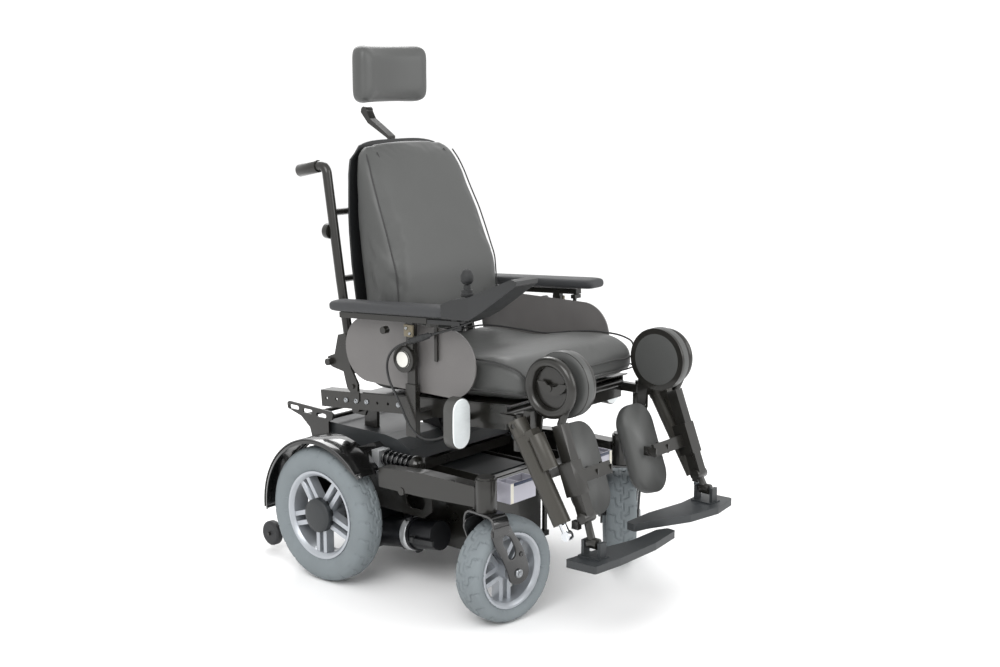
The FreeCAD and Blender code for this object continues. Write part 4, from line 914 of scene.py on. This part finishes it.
        def warp(point: Vector) -> Vector:
            along = point.x / 198
            wide = 1 + 0.05 * along
            crown = -3.0 * (point.y / 32) ** 2 * (1 if point.z > 0 else 0)
            z = point.z + crown
            x = 234 + point.x * math.cos(tilt) + z * math.sin(tilt) * -1
            up = 742 + z * math.cos(tilt) + point.x * math.sin(tilt)
            return Vector((x, sign * 290 + point.y * wide * 0.96, up))

        pad = Pad(f"arm_upholstery_{word}", (197, 31, 14.5), 9, Place((0, 0, 0)), warp, (20, 6, 4),
            voxel=4.0, pressure=0)
        pad.build(FOAM_SKIN, f"armrest_{word}", f"armrest_pad_{word}", fill=1.0)

    def build(self) -> None:
        """Make every pad."""
        self.seat()
        self.back()
        self.shell()
        self.head()
        for side in Side:
            self.arm(side)
            self.leg(side)


# ------------------------------------------------------------------ fittings


@dataclass
class Fittings(Assembly):
    """Guards over the wheels, lamps, knee pads, bands, strips and screws."""

    guard_y: float = 298.0
    guard_x: float = 2.0
    guard_z: float = 178.0
    guard_start: float = 40.0
    guard_sweep: float = 146.0
    guard_lift: float = 0.8
    lamp_x: float = 472.0
    lamp_y: float = 300.0
    lamp_z: float = 494.0
    lamp_reach: float = 31.0
    lens_round: float = 27.0
    knee_pad: Point = (695.0, 178.0, 603.0)
    arm_hub: Point = (281.0, 297.0, 622.0)
    arm_bracket: Point = (298.0, 293.0, 694.0)
    shock_y: float = 222.0
    shock_z: float = 335.0
    motor_pitch: float = 9.0
    motor_band: Point = (168.0, 160.0, 123.5)
    fascia_x: float = 543.6
    rail_middle: Point = (236.0, 234.4, 462.0)
    rail_pitch: float = 5.0
    hole_pitch: float = 38.0

    @staticmethod
    def ring(name: str, profile: Profile, place: Place, finish: Finish, body: str, steps: int = 32) -> None:
        """A turned piece with its finish, on its body."""
        Bench.dress(Bench.turned(name, profile, place, steps=steps), finish, body)

    def mudguard(self, side: Side) -> None:
        """Crowned guard over a drive wheel, with a rolled lip."""
        outer = [(0, 203.2), (16, 203), (30, 202.2), (38, 200.5), (42, 196), (43, 190)]
        inner = [(41.4, 190), (40.4, 195.4), (37, 198.8), (29, 200.2), (0, 201.2)]
        section = [(-y, r) for y, r in reversed(outer[1:])] + outer + inner
        section += [(-y, r) for y, r in reversed(inner[:-1])]
        steps, points, faces = 72, [], []
        for step in range(steps + 1):
            angle = self.guard_start + self.guard_sweep * step / steps
            flare = 1 - 0.25 * (1 - smooth(angle, self.guard_start, self.guard_start + 12))
            for lateral, radius in section:
                x, z = polar(radius + self.guard_lift, angle)
                y = side.value * self.guard_y + lateral * flare
                points.append(Vector((x + self.guard_x, y, z + self.guard_z)) * MILLIMETRE)
        rows = len(section)
        for step in range(steps):
            for row in range(rows):
                here, there, beside = step * rows, (step + 1) * rows, (row + 1) % rows
                faces.append((here + row, here + beside, there + beside, there + row))
        faces += [tuple(range(rows)), tuple(steps * rows + row for row in range(rows))]
        shell = Bench.tidy(Bench.mesh(f"mudguard_shell_{side.word}", points, faces))
        guard = Bench.stand(shell, Place((0, 0, 0)))
        Bench.dress(guard, GLOSS, "root")
        guard.data.set_sharp_from_angle(angle=math.radians(60))

    def lamp(self, side: Side) -> None:
        """Clear lens, reflectors and amber side lamp."""
        word, x, y = side.word, self.lamp_x, side.value * self.lamp_y
        reach, ahead = self.lamp_reach, (1, 0, 0)
        corners = (polar(self.lens_round, 360 * step / 24) for step in range(24))
        edge = [(u + math.copysign(reach, u + 1e-6), v) for u, v in corners]
        lens = Bench.cut_out(f"lamp_lens_{word}", [edge], 6, Place((x, y, self.lamp_z), ahead, (0, 0, 1)),
            2.0)
        Bench.dress(lens, LENS, "seat")
        bowl = [(0, 6.2), (9, 5.8), (12, 4.0), (17, 4.4), (22, 5.4), (22.5, 3), (0, 3)]
        self.ring(f"lamp_bowl_{word}", bowl, Place((x, y, self.lamp_z + reach), ahead), CHROME, "seat")
        dome = [(0, 6.2), (8, 5.7), (15, 4.2), (19, 2.9), (0, 2.9)]
        self.ring(f"lamp_dome_{word}", dome, Place((x, y, self.lamp_z - 28), ahead), OFF_WHITE, "seat")
        amber = Bench.block(f"lamp_amber_{word}", (9, 24, 38), Place((x - reach, y, self.lamp_z + 18)), 2.0)
        Bench.dress(amber, AMBER, "seat")

    def knee(self, side: Side) -> None:
        """Crowned knee pad over its disc."""
        x, y, z = self.knee_pad
        inner = Place((x, side.value * y, z), (0, -side.value, 0), (0, 0, 1))
        crown = [(0, 3.6), (40, 3.2), (64, 2.0), (73, 0.4), (77.4, -3), (78.3, -8)]
        back = [(78.3, -24), (76, -27), (60, -27), (0, -27)]
        pad = Bench.turned(f"knee_upholstery_{side.word}", crown + back, inner, steps=64)
        Bench.dress(pad, LEATHER, f"leg_hanger_{side.word}")

    def arm(self, side: Side) -> None:
        """Off-white cap on the armrest's hub, and the rail's bracket with its screws."""
        word, sign = side.word, side.value
        body, out = f"armrest_{word}", (0, side.value, 0)
        x, y, z = self.arm_hub
        cap = [(0, 4.2), (17, 3.8), (20.5, 2.4), (21.5, 0), (0, 0)]
        self.ring(f"hub_disc_{word}", cap, Place((x, sign * y, z), out), OFF_WHITE, body, 48)
        x, y, z = self.arm_bracket
        sleeve = Bench.block(f"arm_bracket_{word}", (30, 6, 30), Place((x, sign * y, z), (0, 0, 1)), 1.2)
        Bench.dress(sleeve, RAIL, body)
        for index, (along, up) in enumerate(((-6, 6), (6, -6))):
            place = Place((x + along, sign * (y + 3), z + up), out)
            Bench.dress(Bench.bolt(f"arm_screw_{word}_{index}", place, 4, 3), STEEL, body)

    def shock(self, side: Side) -> None:
        """Silver dome and collar of a shock, on the caster arm and the chassis."""
        word, y, ahead = side.word, side.value * self.shock_y, (1, 0, 0)
        dome = [(0, 25.4), (9, 24.6), (17, 21), (22.5, 14), (25, 7), (25, -1.4), (24, -1.6), (0, -1.6)]
        place = Place((246, y, self.shock_z), ahead)
        self.ring(f"shock_dome_{word}", dome, place, SILVER, f"caster_arm_{word}", 40)
        collar = [(13, 12), (22, 10), (25.4, 5), (25.8, -6), (24, -14), (13, -15), (13, 12)]
        self.ring(f"shock_collar_{word}", collar, Place((130, y, self.shock_z), ahead), SILVER, "root", 40)

    def trim(self, side: Side) -> None:
        """Silver band of a motor, and the strips on the fascia."""
        word, sign = side.word, side.value
        x, y, z = self.motor_band
        pitch = math.radians(self.motor_pitch)
        place = Place((x, sign * y, z), (math.cos(pitch), 0, math.sin(pitch)))
        band = [(43.2, 20), (43.9, 19), (43.9, 1), (43.2, 0), (42.8, 0), (42.8, 20), (43.2, 20)]
        self.ring(f"motor_band_{word}", band, place, SILVER, "root", 40)
        strip = Bench.block(f"fascia_strip_{word}", (1.6, 10, 49),
            Place((self.fascia_x, sign * 198.0, 313)), 0.5)
        Bench.dress(strip, CREAM, "root")
        band = Bench.block(f"fascia_band_{word}", (1.6, 84, 8), Place((self.fascia_x, sign * 150.0, 334)),
            0.5)
        Bench.dress(band, NAVY, "root")

    def rail(self, side: Side) -> None:
        """Screws in four of the holes along the seat rail."""
        pitch = math.radians(self.rail_pitch)
        x, y, z = self.rail_middle
        for index in (2, 3, 4, 7):
            along = self.hole_pitch * index - 300
            spot = (x + along * math.cos(pitch), side.value * y,
                    z + 296 * math.tan(pitch) + along * math.sin(pitch))
            screw = Bench.bolt(f"rail_screw_{side.word}_{index}", Place(spot, (0, side.value, 0)), 7, 4)
            Bench.dress(screw, STEEL, "seat")

    def build(self) -> None:
        """Make both sides."""
        for side in Side:
            for make in (self.mudguard, self.lamp, self.knee, self.arm, self.shock, self.trim, self.rail):
                make(side)


# ------------------------------------------------------------------ the control lead


@dataclass
class Lead(Assembly):
    """The control module's lead, down the armrest to the seat, with its inline connector."""

    length: float = 0.586
    diameter: float = 0.006
    route: Sequence[Point] = (
        (500, -290, 740), (440, -300, 714), (374, -306, 694), (315, -308, 672), (262, -310, 650),
        (236, -309, 615),
        (240, -308, 570), (268, -307, 530), (292, -306, 488), (312, -303, 452), (346, -297, 434),
        (385, -291, 438),
        (412, -286, 452))

    def connector(self) -> bpy.types.Object:
        """The two halves of the plug and their ribbed sleeves."""
        start, end = Vector((374, -306, 693)), Vector((315, -308, 672))
        run = end - start
        profile = [(0, -12), (4.2, -12), (5.0, -3)]
        for rib in range(4):
            profile += [(7.6, rib * 3.2), (7.6, rib * 3.2 + 1.8), (5.8, rib * 3.2 + 2.0),
                (5.8, rib * 3.2 + 3.0)]
        profile += [(8.2, 14), (8.2, 33), (6.9, 34), (6.9, 35), (7.8, 36), (7.8, 50)]
        for rib in range(3):
            profile += [(7.2, 52 + rib * 3.4), (7.2, 53.8 + rib * 3.4), (5.6, 54 + rib * 3.4),
                (5.6, 55 + rib * 3.4)]
        profile += [(4.0, 68), (0, 68)]
        return Bench.dress(Bench.turned("lead_connector", profile, Place(tuple(start), tuple(run)),
            steps=32), RUBBER, "armrest_right")

    def build(self) -> None:
        """Make the lead in place of its plain tube."""
        data = bpy.data.curves.new("joystick_lead", "CURVE")
        data.dimensions, data.bevel_depth, data.bevel_resolution = "3D", self.diameter / 2, 4
        data.resolution_u, data.use_fill_caps = 12, True
        line = data.splines.new("NURBS")
        line.points.add(len(self.route) - 1)
        for knot, point in zip(line.points, self.route):
            knot.co = (*chair(*point), 1.0)
        line.order_u, line.use_endpoint_u = 3, True
        lead = bpy.data.objects.new("joystick_lead", data)
        bpy.context.scene.collection.objects.link(lead)
        Bench.dress(lead, CABLE, "armrest_right")
        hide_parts("joystick_cable")
        self.connector()


# ------------------------------------------------------------------ the frame's own parts


@dataclass
class FrameFinishes(Assembly):
    """Finishes and softened edges of the parts that show as they are."""

    finishes: dict[str, Finish] = field(default_factory=lambda: {
        "chassis_frame": SATIN, "battery_pack": DARK, "battery_cover": DARK, "power_module": PLASTIC,
        "front_fascia": FASCIA,
        "drive_motors": MOTOR, "mudguards": GLOSS, "luggage_rack": SATIN, "shock_dampers": SILVER,
        "shock_spring": SPRING,
        "freewheel_lever": PLASTIC, "drive_rim": RIM, "anti_tip_wheel": SMALL_WHEEL, "caster_arm": SATIN,
        "caster_fork": GLOSS,
        "caster_rim": RIM, "tilt_actuator": PLASTIC, "tilt_rod": CHROME, "seat_frame": SATIN,
        "head_lamps": LAMP,
        "back_frame": SATIN, "back_shell": PLASTIC, "headrest_bar": SATIN, "armrest_frame": SATIN,
        "side_guard": GUARD,
        "joystick_module": PLASTIC, "joystick_gimbal": PLASTIC, "joystick_stick": RUBBER,
        "power_button": PLASTIC,
        "joystick_cable": CABLE, "leg_hanger": SATIN, "leg_tube": SATIN, "leg_actuator": ACTUATOR,
        "leg_rod": CHROME,
        "calf_pad": LEATHER, "footplate": DARK})
    bevel: float = 0.8

    def finish_of(self, node: str) -> Finish | None:
        """The finish of a node by the start of its name."""
        return next((f for start, f in self.finishes.items() if node.startswith(start)), None)

    def build(self) -> None:
        """Dress every node and ease its edges."""
        for name, node in FRAME["nodes"].items():
            finish = self.finish_of(name)
            if finish is None:
                continue
            node.data.materials.clear()
            node.data.materials.append(Shader.of(finish))
            Bench.stack(node, "WELD", merge_threshold=2e-5)
            if name != "joystick_cable":
                Bench.ease(node, self.bevel, 2, 32)


# ------------------------------------------------------------------ studio


@dataclass
class Studio:
    """Pale floor, soft light and the camera."""

    floor_size: float = 40.0
    lens: float = 52.09
    camera: Point = (2686.94, -2746.39, 1333.96)
    azimuth: float = 40.5711
    elevation: float = 10.7172

    def floor(self) -> None:
        """A wide pale floor."""
        half = self.floor_size / 2
        plane = Bench.mesh("floor", [Vector((x, y, 0)) for x,
            y in ((-half, -half), (half, -half), (half, half), (-half, half))], [(0, 1, 2, 3)])
        plane.data.materials.append(Shader.of(Finish("floor_paint", "#f4f4f4", 0.8, mottle=0.0, relief=0.0)))

    def lamp(self, name: str, place: Point, aim: Point, size: float, watts: float) -> None:
        """A square area light aimed at a point."""
        data = bpy.data.lights.new(name, "AREA")
        data.shape, data.size, data.energy = "SQUARE", size, watts
        made = bpy.data.objects.new(name, data)
        made.location = Vector(place)
        made.rotation_mode = "QUATERNION"
        made.rotation_quaternion = (Vector(aim) - Vector(place)).to_track_quat("-Z", "Y")
        bpy.context.scene.collection.objects.link(made)

    def sky(self) -> None:
        """An even white surround."""
        world = bpy.data.worlds.new("studio")
        world.use_nodes = True
        background = world.node_tree.nodes["Background"]
        background.inputs["Color"].default_value = (1, 1, 1, 1)
        background.inputs["Strength"].default_value = 1.15
        bpy.context.scene.world = world
        bpy.context.scene.view_settings.view_transform = "Standard"

    def eye(self) -> None:
        """The camera at the chair's front right."""
        data = bpy.data.cameras.new("camera")
        data.lens, data.sensor_width = self.lens, 36.0
        made = bpy.data.objects.new("camera", data)
        a, e = math.radians(self.azimuth), math.radians(self.elevation)
        made.location = chair(*self.camera)
        look = Vector((-math.sin(a) * math.cos(e), math.cos(a) * math.cos(e), -math.sin(e)))
        made.rotation_mode = "QUATERNION"
        made.rotation_quaternion = look.to_track_quat("-Z", "Y")
        bpy.context.scene.collection.objects.link(made)
        bpy.context.scene.camera = made

    def build(self) -> None:
        """Set the studio up."""
        self.floor()
        self.sky()
        self.lamp("key", (1.6, -3.2, 3.4), (0.0, 0.0, 0.6), 2.6, 110)
        self.lamp("fill", (3.4, 1.2, 2.2), (0.0, 0.0, 0.5), 2.4, 50)
        self.lamp("rim", (-2.4, 1.6, 3.0), (0.0, 0.0, 0.7), 2.0, 60)
        self.eye()


def main() -> None:
    """Build the chair's looks."""
    logging.basicConfig(level=logging.INFO, format="%(name)s: %(message)s")
    Studio().build()
    for assembly in (FrameFinishes(), Wheels(), Upholstery(), Fittings(), Lead()):
        assembly.build()
        LOG.info("built %s", type(assembly).__name__)


if __name__ == "__main__":
    main()
